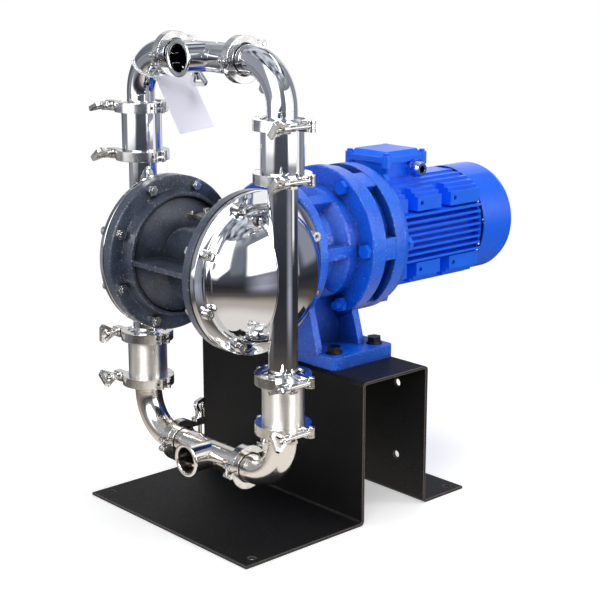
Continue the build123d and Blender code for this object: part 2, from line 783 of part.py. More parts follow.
def gearbox_housing():
    """Foot-mounted gearbox housing: output flange, ribbed body, rear flange and foot."""
    front = gearbox_front_y
    flange_end = front + output_flange_t
    body_r = gear_body_od / 2
    rear_r = gear_flange_od / 2
    profile = [(0, front), (output_flange_od / 2 - 3, front), (output_flange_od / 2, front + 3),
               (output_flange_od / 2, flange_end - 3), (output_flange_od / 2 - 3, flange_end),
               (gear_body_front_od / 2 + 8, flange_end), (gear_body_front_od / 2, flange_end + 12),
               (gear_body_front_od / 2 + 6, gear_flange_y - 44), (body_r - 2, gear_flange_y - 26),
               (body_r, gear_flange_y - 22), (body_r, gear_flange_y), (rear_r - 2, gear_flange_y),
               (rear_r, gear_flange_y + 2), (rear_r, ring_y), (0, ring_y)]
    body = turned(profile, drive_axis)
    half_rib = rib_thickness / 2
    for i in range(rib_count):
        rib = block((0, body_r), (flange_end - 1, gear_flange_y - 22), (-half_rib, half_rib))
        body += Pos(0, 0, axis_height) * Rot(0, 360 * i / rib_count, 0) * rib
    pad = RectangleRounded(2 * pad_half_width, pad_length, pad_corner)
    pad_centre = (0, pad_front_y + pad_length / 2, deck_height)
    body += Pos(*pad_centre) * extrude(pad, pad_thickness)
    for front_y in (leg_front_y, leg_rear_y):
        body += gearbox_leg(front_y)
    body += block((-42, 42), (leg_front_y + 2, leg_rear_y + 2), (deck_height + 2, axis_height - 60))
    body -= gearbox_bore()
    body -= bar((0, ring_y, axis_height), (0, ring_y + 40, axis_height), rear_r)
    body -= block((-80, 80), (pad_front_y + 30, pad_rear_y - 30), (deck_height - 1, deck_height + 6))
    for x, y in foot_bolt_places():
        body -= bar((x, y, deck_height - 1), (x, y, deck_height + pad_thickness + 1), foot_bolt_d / 2 + 1)
    for a, b in ring_places(gear_bolt_circle / 2, 6):
        hole = gear_bolt_d / 2 + 0.5
        body -= bar((a, gear_flange_y - 1, axis_height + b), (a, ring_y + 1, axis_height + b), hole)
    for a, b in drum_bolt_places():
        body -= bar((a, front - 1, axis_height + b), (a, front + 18, axis_height + b), 6.0)
    return body


def foot_bolt_places():
    """Places of the four foot bolts on the deck."""
    ys = (pad_front_y + foot_bolt_inset, pad_rear_y - foot_bolt_inset + 6)
    return [(sx * foot_bolt_x, y) for sx in (-1, 1) for y in ys]


save("gearbox_housing", gearbox_housing())


def foot_bolt(x, y):
    """A hexagon bolt with washer, through the pad and the deck, with its nut below."""
    top = deck_height + pad_thickness
    under = deck_height - plate_t
    body = bar((x, y, under - 17), (x, y, top + 2), foot_bolt_d / 2)
    body += bar((x, y, top), (x, y, top + 3), 15.0)
    body += hexagon((x, y, top + 3), (x, y, top + 13), 24.0, 15)
    body += hexagon((x, y, under - 13), (x, y, under), 24.0)
    return body


save("foot_bolts", *[foot_bolt(x, y) for x, y in foot_bolt_places()])


def ring_gear():
    """Fixed ring of the reducer: pin teeth inside, grooved and lugged outside."""
    end = motor_flange_y
    outer = gear_ring_od / 2
    groove = groove_od / 2
    bore = pin_circle_radius + 2
    profile = [(bore, ring_y), (outer, ring_y), (outer, ring_y + groove_y), (groove, ring_y + groove_y + 2),
               (groove, end), (bore, end)]
    body = turned(profile, drive_axis)
    for i in range(6):
        lug = block((groove - 6, outer), (ring_y + groove_y - 1, end), (-lug_width / 2, lug_width / 2))
        lug &= turned([(0, ring_y), (outer - 0.5, ring_y), (outer - 0.5, end), (0, end)],
                      Plane(origin=(0, 0, 0), x_dir=(1, 0, 0), z_dir=(0, 1, 0)))
        body += Pos(0, 0, axis_height) * Rot(0, 60 * i, 0) * lug
    for a, b in ring_places(pin_circle_radius, ring_pins):
        body += bar((a, ring_y, axis_height + b), (a, end, axis_height + b), ring_pin_radius)
    for a, b in ring_places(gear_bolt_circle / 2, 6):
        hole = gear_bolt_d / 2 + 0.5
        body -= bar((a, ring_y - 1, axis_height + b), (a, end + 1, axis_height + b), hole)
    return body


save("ring_gear", ring_gear())


def cycloid_outline():
    """Outline of a cycloid disc, rolled off the ring pins with a small clearance."""
    lobes = ring_pins - 1
    pin_r = ring_pin_radius + disc_fit
    ratio = pin_circle_radius / (eccentricity * ring_pins)
    steps = 16 * lobes
    points = []
    for i in range(steps):
        t = 2 * math.pi * i / steps
        psi = math.atan2(math.sin(-lobes * t), ratio - math.cos(-lobes * t))
        x = pin_circle_radius * math.cos(t) - pin_r * math.cos(t + psi)
        y = -pin_circle_radius * math.sin(t) + pin_r * math.sin(t + psi)
        x -= eccentricity * math.cos(ring_pins * t)
        y += eccentricity * math.sin(ring_pins * t)
        points.append((x, y))
    return points


def cycloid_disc(y, sign):
    """A cycloid disc on its journal, with one lobe valley towards its eccentric side."""
    face = make_face(Polyline(*cycloid_outline(), close=True))
    face -= Circle(journal_radius + sleeve_fit)
    hole = output_pin_radius + eccentricity + disc_fit
    for a, b in ring_places(output_pin_circle, output_pins, 0 if sign > 0 else 180):
        face -= Pos(a, b) * Circle(hole)
    disc = extrude(face, disc_thickness)
    plane = Plane(origin=(sign * eccentricity, y, axis_height), x_dir=(sign, 0, 0), z_dir=(0, 1, 0))
    return plane.location * disc


front_disc_y = ring_y + disc_start
rear_disc_y = front_disc_y + disc_thickness + disc_gap
save("front_cycloid_disc", cycloid_disc(front_disc_y, 1))
save("rear_cycloid_disc", cycloid_disc(rear_disc_y, -1))

shaft_r = shaft_d / 2
sleeve_start = front_disc_y - 1
sleeve_middle = front_disc_y + disc_thickness + 1
sleeve_end = rear_disc_y + disc_thickness + 1
front_journal = bar((eccentricity, sleeve_start, axis_height), (eccentricity, sleeve_middle, axis_height),
                    journal_radius)
rear_journal = bar((-eccentricity, rear_disc_y - 1, axis_height), (-eccentricity, sleeve_end, axis_height),
                   journal_radius)
collar = bar((0, sleeve_middle, axis_height), (0, rear_disc_y - 1, axis_height), journal_radius - 6)
sleeve = front_journal + rear_journal + collar
sleeve -= bar((0, sleeve_start - 1, axis_height), (0, sleeve_end + 1, axis_height), shaft_r)
save("eccentric_sleeve", sleeve)


def output_shaft():
    """Output shaft: crank in the crankcase, two bearing seats and a carrier with pins."""
    front = gearbox_front_y
    r = output_shaft_d / 2
    f_seat = front + 6
    f_end = f_seat + front_bearing[2]
    r_end = gear_flange_y - 12
    r_seat = r_end - rear_bearing[2]
    carrier_y = ring_y - carrier_t - 5
    cheek = 13.0
    points = [(0, cheek), (r + 3, cheek), (r + 3, cheek + 9), (r, cheek + 9), (r, f_seat),
              (front_bearing[0] / 2, f_seat), (front_bearing[0] / 2, f_end), (r + 5, f_end), (r + 5, r_seat),
              (rear_bearing[0] / 2, r_seat), (rear_bearing[0] / 2, r_end), (r + 11, r_end),
              (r + 11, carrier_y), (carrier_od / 2, carrier_y), (carrier_od / 2, carrier_y + carrier_t),
              (0, carrier_y + carrier_t)]
    body = turned(points, drive_axis)
    body += bar((crank_throw, -roller_half - 3, axis_height), (crank_throw, cheek + 1, axis_height),
                crank_pin_d / 2)
    pin_end = rear_disc_y + disc_thickness + 1
    for a, b in ring_places(output_pin_circle, output_pins):
        body += bar((a, carrier_y + carrier_t - 1, axis_height + b), (a, pin_end, axis_height + b),
                    output_pin_radius)
    return body


save("output_shaft", output_shaft())


def bearing(start, size, fit=0.0):
    """A rolling bearing drawn as one ring between its shaft and its seat."""
    inner, outer, width = size
    profile = [(inner / 2 + fit, start), (outer / 2, start), (outer / 2, start + width),
               (inner / 2 + fit, start + width)]
    return turned(profile, drive_axis)


front_seat_y = gearbox_front_y + 6
rear_seat_y = gear_flange_y - 12 - rear_bearing[2]
motor_seat_y = motor_flange_y + 6
tail_seat_y = motor_end_y - 14
save("bearings", bearing(front_seat_y, front_bearing, bearing_fit),
     bearing(rear_seat_y, rear_bearing, bearing_fit),
     bearing(motor_seat_y, motor_front_bearing, bearing_fit),
     bearing(tail_seat_y, motor_rear_bearing, bearing_fit))


def motor_flange():
    """Input flange: it closes the reducer and carries the motor and its front bearing."""
    start = motor_flange_y
    end = motor_y
    outer = gear_ring_od / 2
    seat = motor_front_bearing[1] / 2 + bearing_fit
    profile = [(shaft_r + 3, start), (outer, start), (outer, end - 12), (outer - 4, end),
               (motor_bore / 2, end), (motor_bore / 2, end - 12), (seat, end - 12), (seat, start + 6),
               (shaft_r + 3, start + 6)]
    body = turned(profile, drive_axis)
    for a, b in ring_places(gear_bolt_circle / 2, 6):
        hole = gear_bolt_d / 2 + 0.5
        body -= bar((a, start - 1, axis_height + b), (a, end + 1, axis_height + b), hole)
    return body


save("motor_flange", motor_flange())


def through_bolt(a, b):
    """A long bolt through the rear flange, ring lug and motor flange; the low ones are studs."""
    z = axis_height + b
    start = gear_flange_y
    flats, height = gear_bolt_head
    stud = 12.0 if b < -gear_bolt_circle / 4 else 0.0
    body = bar((a, start - height - stud, z), (a, motor_y + height + 3, z), gear_bolt_d / 2)
    body += hexagon((a, start - height, z), (a, start, z), flats, 15)
    body += hexagon((a, motor_y, z), (a, motor_y + height, z), flats, 15)
    return body


def drum_screw(a, b):
    """A hexagon screw that holds the crankcase drum to the gearbox."""
    z = axis_height + b
    seat = gearbox_front_y - drum_flange_t
    body = bar((a, seat - 1, z), (a, gearbox_front_y + 16, z), drum_screw_d / 2)
    return body + hexagon((a, seat - 8, z), (a, seat, z), 18.0)


save("gearbox_bolts", *[through_bolt(a, b) for a, b in ring_places(gear_bolt_circle / 2, 6)],
     *[drum_screw(a, b) for a, b in drum_bolt_places()])


# Motor


def fin_section():
    """Cross-section of the finned motor frame, centred: a round core with level fins."""
    section = Circle(motor_core_od / 2)
    first = -(fins_per_side - 1) / 2 * fin_pitch
    for i in range(fins_per_side):
        section += Pos(0, first + i * fin_pitch) * Rectangle(fin_tip_od, fin_thickness)
    return section


def shoulder_section():
    """Cross-section of the stepped shoulders above and below the fins."""
    section = Sketch()
    tops = [rise for rise, half in shoulder_steps[1:]] + [shoulder_top]
    for (low, half), high in zip(shoulder_steps, tops):
        for sign in (1, -1):
            section += Pos(0, sign * (low + high) / 2) * Rectangle(2 * half, high - low)
    return section


def shoulder_pocket(y, sx, sz):
    """A pocket in one shoulder, beside a fixing hole: its floor follows the round core."""
    low = shoulder_steps[0][0] - 1
    inner = shoulder_steps[3][1]
    x_range = sorted((sx * inner, sx * (shoulder_steps[0][1] + 1)))
    z_range = sorted((axis_height + sz * low, axis_height + sz * (shoulder_steps[3][0] + 1)))
    pocket = block(x_range, (y - pocket_length / 2, y + pocket_length / 2), z_range)
    return pocket - bar((0, y - pocket_length, axis_height), (0, y + pocket_length, axis_height),
                        pocket_floor_r)


def motor_frame():
    """Finned frame of the motor, with stepped shoulders and a seat for the terminal box."""
    plane = Plane(origin=(0, motor_y, axis_height), x_dir=(1, 0, 0), z_dir=(0, 1, 0))
    body = plane.location * extrude(fin_section(), motor_length)
    start = Plane(origin=(0, motor_y + shoulder_gap, axis_height), x_dir=(1, 0, 0), z_dir=(0, 1, 0))
    body += start.location * extrude(shoulder_section(), motor_length - shoulder_gap)
    for y in pocket_y:
        for sx in (-1, 1):
            for sz in (-1, 1):
                body -= shoulder_pocket(y, sx, sz)
    half_x = box_size[0] / 2 - 3
    half_y = box_size[1] / 2 - 2
    seat_top = axis_height + box_base_rise
    body += block((-half_x, half_x), (box_centre_y - half_y, box_centre_y + half_y),
                  (axis_height + 60, seat_top))
    end_r = motor_end_od / 2
    body += turned([(motor_bore / 2, motor_y), (end_r, motor_y), (end_r, motor_y + 7),
                    (motor_bore / 2, motor_y + 7)], drive_axis)
    body -= bar((0, motor_y - 1, axis_height), (0, motor_end_y + 1, axis_height), motor_bore / 2)
    hole_d, hole_depth = side_hole
    face_x = shoulder_steps[0][1]
    for y in side_hole_y:
        for sx in (-1, 1):
            for sz in (-1, 1):
                z = axis_height + sz * side_hole_rise
                body -= bar((sx * (face_x - hole_depth), y, z), (sx * (face_x + 1), y, z), hole_d / 2)
    top_z = axis_height + shoulder_steps[3][0]
    for y in top_hole_y:
        body -= bar((top_hole_x, y, top_z - top_hole[1]), (top_hole_x, y, top_z + 1), top_hole[0] / 2)
    body -= bar((0, box_centre_y, axis_height + 50), (0, box_centre_y, seat_top + 1), 14.0)
    return body


save("motor_frame", motor_frame())


def rear_shield():
    """Rear end shield with its bearing seat and four arms that carry the fan cover."""
    start = motor_end_y
    seat = motor_rear_bearing[1] / 2 + bearing_fit
    end_r = motor_end_od / 2
    profile = [(seat, start - 14), (seat + 7, start - 14), (seat + 9, start), (end_r, start),
               (end_r, start + 5), (seat + 8, start + 8), (shaft_r + 2, start + 8),
               (shaft_r + 2, start + 1), (seat, start + 1)]
    body = turned(profile, drive_axis)
    inner = cover_od / 2 - cover_wall
    for i in range(4):
        arm = block((end_r - 8, inner - 1), (start, start + 18), (-9, 9))
        arm &= bar((0, start - 1, 0), (0, start + 20, 0), inner)
        body += Pos(0, 0, axis_height) * Rot(0, 45 + 90 * i, 0) * arm
    return body


save("rear_shield", rear_shield())


def fan_cover():
    """Drawn fan cover: a short drum with rounded rear edge and a slotted grille."""
    start = motor_end_y + cover_gap
    end = start + cover_length
    r = cover_od / 2
    t = cover_wall
    outside = [(r - t, start), (r, start), (r, end - 14), (r - 4, end - 4), (r - 14, end), (0, end),
               (0, end - t), (r - 14 - t / 2, end - t), (r - 4 - t, end - 4 - t / 2), (r - t, end - 14)]
    body = turned(outside, drive_axis)
    for radius, count in ((36, 8), (58, 12), (80, 16)):
        for i in range(count):
            slot = block((radius - 8, radius + 8), (end - t - 1, end + 1), (-4.5, 4.5))
            body -= Pos(0, 0, axis_height) * Rot(0, 360 * (i + 0.5) / count, 0) * slot
    return body


save("fan_cover", fan_cover())


def cooling_fan():
    """Radial fan: hub, back plate and straight blades."""
    start = motor_end_y + 20
    hub_r = 18.0
    body = turned([(fan_seat_d / 2, start), (fan_od / 2, start), (fan_od / 2, start + 3),
                   (hub_r, start + 3), (hub_r, start + 34), (fan_seat_d / 2, start + 34)], drive_axis)
    for i in range(fan_blades):
        blade = block((hub_r - 1, fan_od / 2), (start + 2, start + 28), (-1.25, 1.25))
        body += Pos(0, 0, axis_height) * Rot(0, 360 * i / fan_blades, 0) * blade
    return body


save("cooling_fan", cooling_fan())


def stator():
    """Stator core with its end windings."""
    centre = motor_y + motor_length / 2 - 4
    half = stack_length / 2
    bore = stator_bore / 2
    outer = motor_bore / 2
    return turned([(bore, centre - half), (bore + 3, centre - half), (bore + 4, centre - half - 18),
                   (outer - 5, centre - half - 18), (outer - 4, centre - half), (outer, centre - half),
                   (outer, centre + half), (outer - 4, centre + half), (outer - 5, centre + half + 18),
                   (bore + 4, centre + half + 18), (bore + 3, centre + half), (bore, centre + half)],
                  drive_axis)


def rotor():
    """Rotor core pressed on the shaft."""
    centre = motor_y + motor_length / 2 - 4
    half = stack_length / 2 + 3
    return turned([(shaft_r + 4, centre - half), (stator_bore / 2 - rotor_air_gap, centre - half),
                   (stator_bore / 2 - rotor_air_gap, centre + half), (shaft_r + 4, centre + half)],
                  drive_axis)


def motor_shaft():
    """Stepped motor shaft from the eccentric sleeve to the fan."""
    start = sleeve_start - 1
    front_step = motor_seat_y + motor_front_bearing[2]
    rear_step = tail_seat_y
    end = motor_end_y + 58
    fan_step = motor_end_y + 20
    return turned([(0, start), (shaft_r, start), (shaft_r, front_step), (shaft_r + 4, front_step),
                   (shaft_r + 4, rear_step), (shaft_r, rear_step), (shaft_r, fan_step),
                   (fan_seat_d / 2, fan_step), (fan_seat_d / 2, end), (0, end)], drive_axis)


save("stator", stator())
save("rotor", rotor())
save("motor_shaft", motor_shaft())

# Terminal box, lid, gland and small screws
box_x, box_y, box_z = box_size
box_bottom = axis_height + box_base_rise
box_top = box_bottom + box_z
lid_x, lid_y, lid_z = lid_size
lid_top = box_top + lid_z


def lid_screw_places():
    """Places of the four lid screws, in the corner ears."""
    return [(sx * (lid_x / 2 - lid_ear / 2), box_centre_y + sy * (lid_y / 2 - lid_ear / 2))
            for sx in (-1, 1) for sy in (-1, 1)]


def terminal_box():
    """Terminal box: open above, with a cable hole in its side and screw ears."""
    outline = RectangleRounded(box_x, box_y, 6)
    body = Pos(0, box_centre_y, box_bottom) * extrude(outline, box_z)
    rim = RectangleRounded(lid_x - 6, lid_y - 6, 8)
    body += Pos(0, box_centre_y, box_top - box_rim) * extrude(rim, box_rim)
    for x, y in lid_screw_places():
        body += bar((x, y, box_top - 12), (x, y, box_top), lid_ear / 2)
    hollow = RectangleRounded(box_x - 2 * box_wall, box_y - 2 * box_wall, 3)
    body -= Pos(0, box_centre_y, box_bottom + box_wall) * extrude(hollow, box_z)
    body -= bar((0, box_centre_y, box_bottom - 1), (0, box_centre_y, box_bottom + box_wall + 1), 14.0)
    gland_z = axis_height + gland_rise
    body -= bar((box_x / 2 - box_wall - 1, gland_y, gland_z), (box_x / 2 + 1, gland_y, gland_z), 10.0)
    for x, y in lid_screw_places():
        body -= bar((x, y, box_top - 10), (x, y, box_top + 1), screw_d / 2)
    return body


def terminal_lid():
    """Lid with a raised chamfered panel and four corner ears."""
    outline = RectangleRounded(lid_x - 6, lid_y - 6, 8)
    body = Pos(0, box_centre_y, box_top) * extrude(outline, lid_z - lid_panel)
    panel_low = Pos(0, 0, 0) * RectangleRounded(lid_x - 12, lid_y - 12, 8)
    panel_high = Pos(0, 0, lid_panel + 4) * RectangleRounded(lid_x - 30, lid_y - 30, 6)
    panel = loft([panel_low, panel_high])
    body += Pos(0, box_centre_y, box_top + lid_z - lid_panel) * panel
    for x, y in lid_screw_places():
        body += bar((x, y, box_top), (x, y, box_top + lid_z - 2), lid_ear / 2)
    for x, y in lid_screw_places():
        body -= bar((x, y, box_top - 1), (x, y, lid_top + 1), screw_d / 2 + 0.3)
        body -= bar((x, y, box_top + lid_z - 2), (x, y, lid_top + 5), 6.5)
    return body


save("terminal_box", terminal_box())
save("terminal_lid", terminal_lid())
lid_screws = [cover_screw(x, y, box_top + lid_z - 2, lid_z + 6) for x, y in lid_screw_places()]
plate_screws = [cover_screw(x, y, plate_bottom + plate_z, plate_z + 10)
                for x, y in inspection_screw_places()]
save("cover_screws", *lid_screws, *plate_screws)


def cable_gland():
    """Cable gland: thread, hexagon body and rounded clamping nut with its bore."""
    z = axis_height + gland_rise
    face = box_x / 2
    plane = Plane(origin=(face, gland_y, z), x_dir=(0, 1, 0), z_dir=(1, 0, 0))
    body = turned([(0, 0), (13.0, 0), (13.0, 17), (15.0, 18), (15.0, 25), (12.0, gland_length),
                   (0, gland_length)], plane)
    body += hexagon((face + 6, gland_y, z), (face + 14, gland_y, z), 30.0)
    body += bar((face - box_wall, gland_y, z), (face, gland_y, z), 10.0)
    end = face + gland_length + 1
    return body - bar((face - box_wall - 1, gland_y, z), (end, gland_y, z), gland_bore / 2)


save("cable_gland", cable_gland())


# Bent base plate


def bent_path(corners, radii):
    """Corner points as a line with rounded bends."""
    return FilletPolyline(*corners, radius=radii)


def base_frame():
    """One plate bent to a front foot, a raised deck and a rear foot."""
    t = plate_t
    outside = bend_inside + t
    upper = bent_path([(front_edge_y, t), (front_wall_y, t), (front_wall_y, deck_height),
                       (deck_end_y, deck_height), (deck_end_y, t), (rear_edge_y, t)],
                      [bend_inside, outside, outside, bend_inside])
    lower = bent_path([(rear_edge_y, 0), (deck_end_y - t, 0), (deck_end_y - t, deck_height - t),
                       (front_wall_y + t, deck_height - t), (front_wall_y + t, 0), (front_edge_y, 0)],
                      [outside, bend_inside, bend_inside, outside])
    ends = [Line((rear_edge_y, t), (rear_edge_y, 0)), Line((front_edge_y, 0), (front_edge_y, t))]
    face = make_face([upper, lower] + ends)
    body = extrude(Plane.YZ * face, base_width / 2, both=True)
    for sx in (-1, 1):
        for y in (front_edge_y + anchor_inset[0], rear_edge_y - anchor_inset[1]):
            body -= bar((sx * anchor_x, y, -1), (sx * anchor_x, y, t + 1), anchor_d / 2)
        for z in wall_hole_z:
            body -= bar((sx * wall_hole_x, deck_end_y - t - 1, z), (sx * wall_hole_x, deck_end_y + 1, z),
                        wall_hole_d / 2)
    for x, y in foot_bolt_places():
        body -= bar((x, y, deck_height - t - 1), (x, y, deck_height + 1), foot_bolt_d / 2 + 1)
    return body


save("base_frame", base_frame())

# Strap round the far upper elbow, and the card that hangs from it


def strap_plane():
    """The plane of the strap: square across the elbow's bend, its x towards the bend's inside."""
    angle = math.radians(strap_angle)
    bend_x = elbow_radius - pipe_x
    bend_z = axis_height + run_rise - elbow_radius
    origin = (bend_x - elbow_radius * math.cos(angle), 0, bend_z + elbow_radius * math.sin(angle))
    return Plane(origin=origin, x_dir=(math.cos(angle), 0, -math.sin(angle)),
                 z_dir=(math.sin(angle), 0, math.cos(angle)))


strap_r = strap_d / 2
strap_ring_r = tube_r + card_fit + strap_r
hang_point = strap_plane().from_local_coords((strap_ring_r, 0, 0))
card_turns = Rot(0, 0, card_turn[2]) * Rot(card_turn[0], 0, 0) * Rot(0, card_turn[1], 0)
card_w, card_h, card_t = card_size
hole_local = Vector(card_edge - card_w / 2, 0, card_h / 2 - card_edge)
inward = (card_turns * Pos(1, 0, -1)).position.normalized()
across = (card_turns * Pos(0, 1, 0)).position
hole_place = hang_point + inward * (2 * link_radius)
card_location = Pos(*hole_place) * card_turns * Pos(*(hole_local * -1))
card = Box(card_w, card_t, card_h) - Pos(*hole_local) * Rot(90, 0, 0) * Cylinder(strap_r + card_fit, 4)
save("tag_card", card_location * card)

strap = strap_plane().location * Torus(strap_ring_r, strap_r)
link_plane = Plane(origin=hang_point + inward * link_radius, x_dir=inward, z_dir=inward.cross(across))
strap += link_plane.location * Torus(link_radius, strap_r)
save("tag_strap", strap)
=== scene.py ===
import logging
import math
from dataclasses import dataclass, field
from enum import Enum
from typing import Any, Iterable, Sequence

import bmesh
import bpy
from mathutils import Matrix, Vector


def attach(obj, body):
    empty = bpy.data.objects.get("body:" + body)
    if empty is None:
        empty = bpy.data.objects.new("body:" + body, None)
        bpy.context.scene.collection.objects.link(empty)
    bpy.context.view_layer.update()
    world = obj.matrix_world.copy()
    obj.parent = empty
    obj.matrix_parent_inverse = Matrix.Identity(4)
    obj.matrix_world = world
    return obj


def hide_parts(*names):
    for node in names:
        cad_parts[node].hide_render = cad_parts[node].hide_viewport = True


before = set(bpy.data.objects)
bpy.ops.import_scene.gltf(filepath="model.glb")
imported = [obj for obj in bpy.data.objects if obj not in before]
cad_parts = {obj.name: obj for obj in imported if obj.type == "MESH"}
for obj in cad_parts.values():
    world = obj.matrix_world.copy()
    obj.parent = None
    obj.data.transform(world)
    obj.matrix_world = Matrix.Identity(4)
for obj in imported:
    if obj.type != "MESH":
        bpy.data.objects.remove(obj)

LOG = logging.getLogger("diaphragm_pump")
MM = 0.001
AXIS_HEIGHT = 474.0
WHITE = "ffffff"
# Painted shade for corners and recesses: a near-black laid over the colour where little light reaches
RECESS_SHADE = "0a0a0b"
Point = tuple[float, float, float]
Span = tuple[float, float]
Profile = Sequence[Span]
Stops = Sequence[tuple[float, str]]
Inputs = dict[str | int, Any]
Node = bpy.types.Node
Socket = bpy.types.NodeSocket
Material = bpy.types.Material
Object = bpy.types.Object

# Node settings that come back often
COLOURS = {"data_type": "RGBA"}
SMOOTH = {"interpolation_type": "SMOOTHSTEP"}
PRODUCT = {"operation": "MULTIPLY"}
SCALED_SUM = {"operation": "MULTIPLY_ADD"}
BEVEL = {"samples": 4}


class Side(Enum):
    """The two sides of the pump, by the sign of X."""

    NEAR = 1
    FAR = -1


class Level(Enum):
    """The two flow levels, by the sign of the height above the chamber axis."""

    DISCHARGE = 1
    SUCTION = -1


class Relief(Enum):
    """How a painted surface was made, by how much of its grain shows through the paint."""

    SAND_CAST = 0.9
    DIE_CAST = 0.35
    PRESSED = 0.12


# Colours and nodes


def linear(code: str) -> tuple[float, float, float, float]:
    """Turns an sRGB hex value into a linear colour.

    Args:
        code: Six hex digits, such as "1a4fd0".

    Returns:
        Linear red, green and blue, and full opacity.
    """
    values = [int(code[i:i + 2], 16) / 255 for i in (0, 2, 4)]
    steps = [v / 12.92 if v <= 0.04045 else ((v + 0.055) / 1.055) ** 2.4 for v in values]
    return (steps[0], steps[1], steps[2], 1.0)


def cycles_per_metre(size_mm: float) -> float:
    """Noise scale in object space whose features are about this many millimetres across."""
    return 1000.0 / size_mm


class Nodes:
    """A node tree in the making."""

    def __init__(self, tree: bpy.types.NodeTree) -> None:
        """Takes over a node tree and empties it."""
        self.tree = tree
        self.tree.nodes.clear()

    def feed(self, node: Node, inputs: Inputs) -> None:
        """Feeds a node's inputs.

        Args:
            node: The node.
            inputs: Input names or indices, each with a constant, a socket or a node whose first output counts.
        """
        for key, value in inputs.items():
            if isinstance(value, Node):
                value = value.outputs[0]
            if isinstance(value, Socket):
                self.tree.links.new(value, node.inputs[key])
            else:
                node.inputs[key].default_value = value

    def add(self, kind: str, settings: dict[str, Any] | None = None, inputs: Inputs | None = None,
            stops: Stops = ()) -> Node:
        """Adds one node with its settings and links.

        Args:
            kind: The node's type without ShaderNode, such as "TexNoise".
            settings: Attribute names with their values.
            inputs: What feeds its inputs, as for feed.
            stops: A colour ramp's positions and hex values, from low to high.

        Returns:
            The new node.
        """
        node = self.tree.nodes.new(f"ShaderNode{kind}")
        for name, value in (settings or {}).items():
            setattr(node, name, value)
        self.feed(node, inputs or {})
        for place, (position, code) in enumerate(stops):
            ramp = node.color_ramp.elements
            # A new ramp comes with two stops
            stop = ramp[place] if place < 2 else ramp.new(position)
            stop.position = position
            stop.color = linear(code)
        return node


class Surface(Nodes):
    """A node material in the making, with its shader, its output and the piece's own coordinates."""

    def __init__(self, name: str, kind: str = "BsdfPrincipled") -> None:
        """Starts the material.

        Args:
            name: The material's name.
            kind: Its shader's type, as for add.
        """
        self.material = bpy.data.materials.new(name)
        self.material.use_nodes = True
        super().__init__(self.material.node_tree)
        self.shader = self.add(kind)
        self.output = self.add("OutputMaterial", inputs={"Surface": self.shader})
        self.place = self.add("TexCoord").outputs["Object"]

    def skin(self, size_mm: float, strength: float, depth: float, detail: float = 3.0, roughness: float = 0.5,
             under: Node | None = None, along: Point | None = None) -> tuple[Node, Node]:
        """A grain that stands up from the surface.

        Args:
            size_mm: How far across its features are, in millimetres.
            strength: How much of its height shows.
            depth: Its full height, in metres.
            detail: How many finer layers it has.
            roughness: How strong those layers are.
            under: The softened edges under it, or None.
            along: How much of its scale each axis keeps, or None for all of it.

        Returns:
            The grain, a value about 0.5, and its normals.
        """
        scale, place = cycles_per_metre(size_mm), self.place
        if along is not None:
            place = self.add("Mapping", inputs={"Scale": tuple(scale * a for a in along), "Vector": place})
            scale = 1.0
        grain = self.add("TexNoise", inputs={
            "Scale": scale, "Detail": detail, "Roughness": roughness, "Vector": place})
        raised = {"Strength": strength, "Distance": depth, "Height": grain}
        if under is not None:
            raised["Normal"] = under
        return grain, self.add("Bump", inputs=raised)

    def openness(self, reach_mm: float, floor: float) -> Node:
        """How open a surface lies to others within reach: the floor in the deepest corner, 1 in the open."""
        near = self.add("AmbientOcclusion", {"samples": 6}, {"Distance": reach_mm * MM})
        return self.add("MapRange", inputs={0: near.outputs["AO"], 1: 0.25, 2: 0.75, 3: floor, 4: 1.0})

    def shaded_in_recesses(self, unshaded: Node, colour: Any) -> Socket:
        """Darkens a colour towards near-black with painted shade in corners and recesses, by what openness leaves
        unshaded.
        """
        return self.add("Mix", COLOURS, {0: unshaded, 6: linear(RECESS_SHADE), 7: colour}).outputs[2]

    def done(self, grain: Node, roughness: float, drift: Span, inputs: Inputs) -> Material:
        """Feeds the shader, whose roughness drifts with a grain.

        Args:
            grain: The grain.
            roughness: The usual roughness.
            drift: Its lowest and highest share.
            inputs: What feeds the shader's other inputs.

        Returns:
            The material.
        """
        rough = self.add("MapRange", inputs={0: grain, 3: roughness * drift[0], 4: roughness * drift[1]})
        self.feed(self.shader, {"Roughness": rough} | inputs)
        return self.material


# Finishes


@dataclass(frozen=True)
class PolishedStainless:
    """Stainless tube and domes, buffed to a mirror: sharp reflections that waver a little."""

    name: str = "polished_stainless"
    colour: str = "e2e3e6"
    roughness: float = 0.05
    drift: Span = (0.6, 1.8)
    waver_mm: float = 45.0
    waver_depth: float = 0.0009
    waver_share: float = 0.35
    buffing_mm: float = 6.0

    def build(self) -> Material:
        """Makes the node material."""
        surface = Surface(self.name)
        haze = surface.add("TexNoise", inputs={
            "Scale": cycles_per_metre(self.buffing_mm), "Detail": 4.0, "Vector": surface.place})
        _, normals = surface.skin(self.waver_mm, self.waver_share, self.waver_depth, 1.0)
        return surface.done(haze, self.roughness, self.drift, {
            "Metallic": 1.0, "Base Color": linear(self.colour), "Normal": normals})


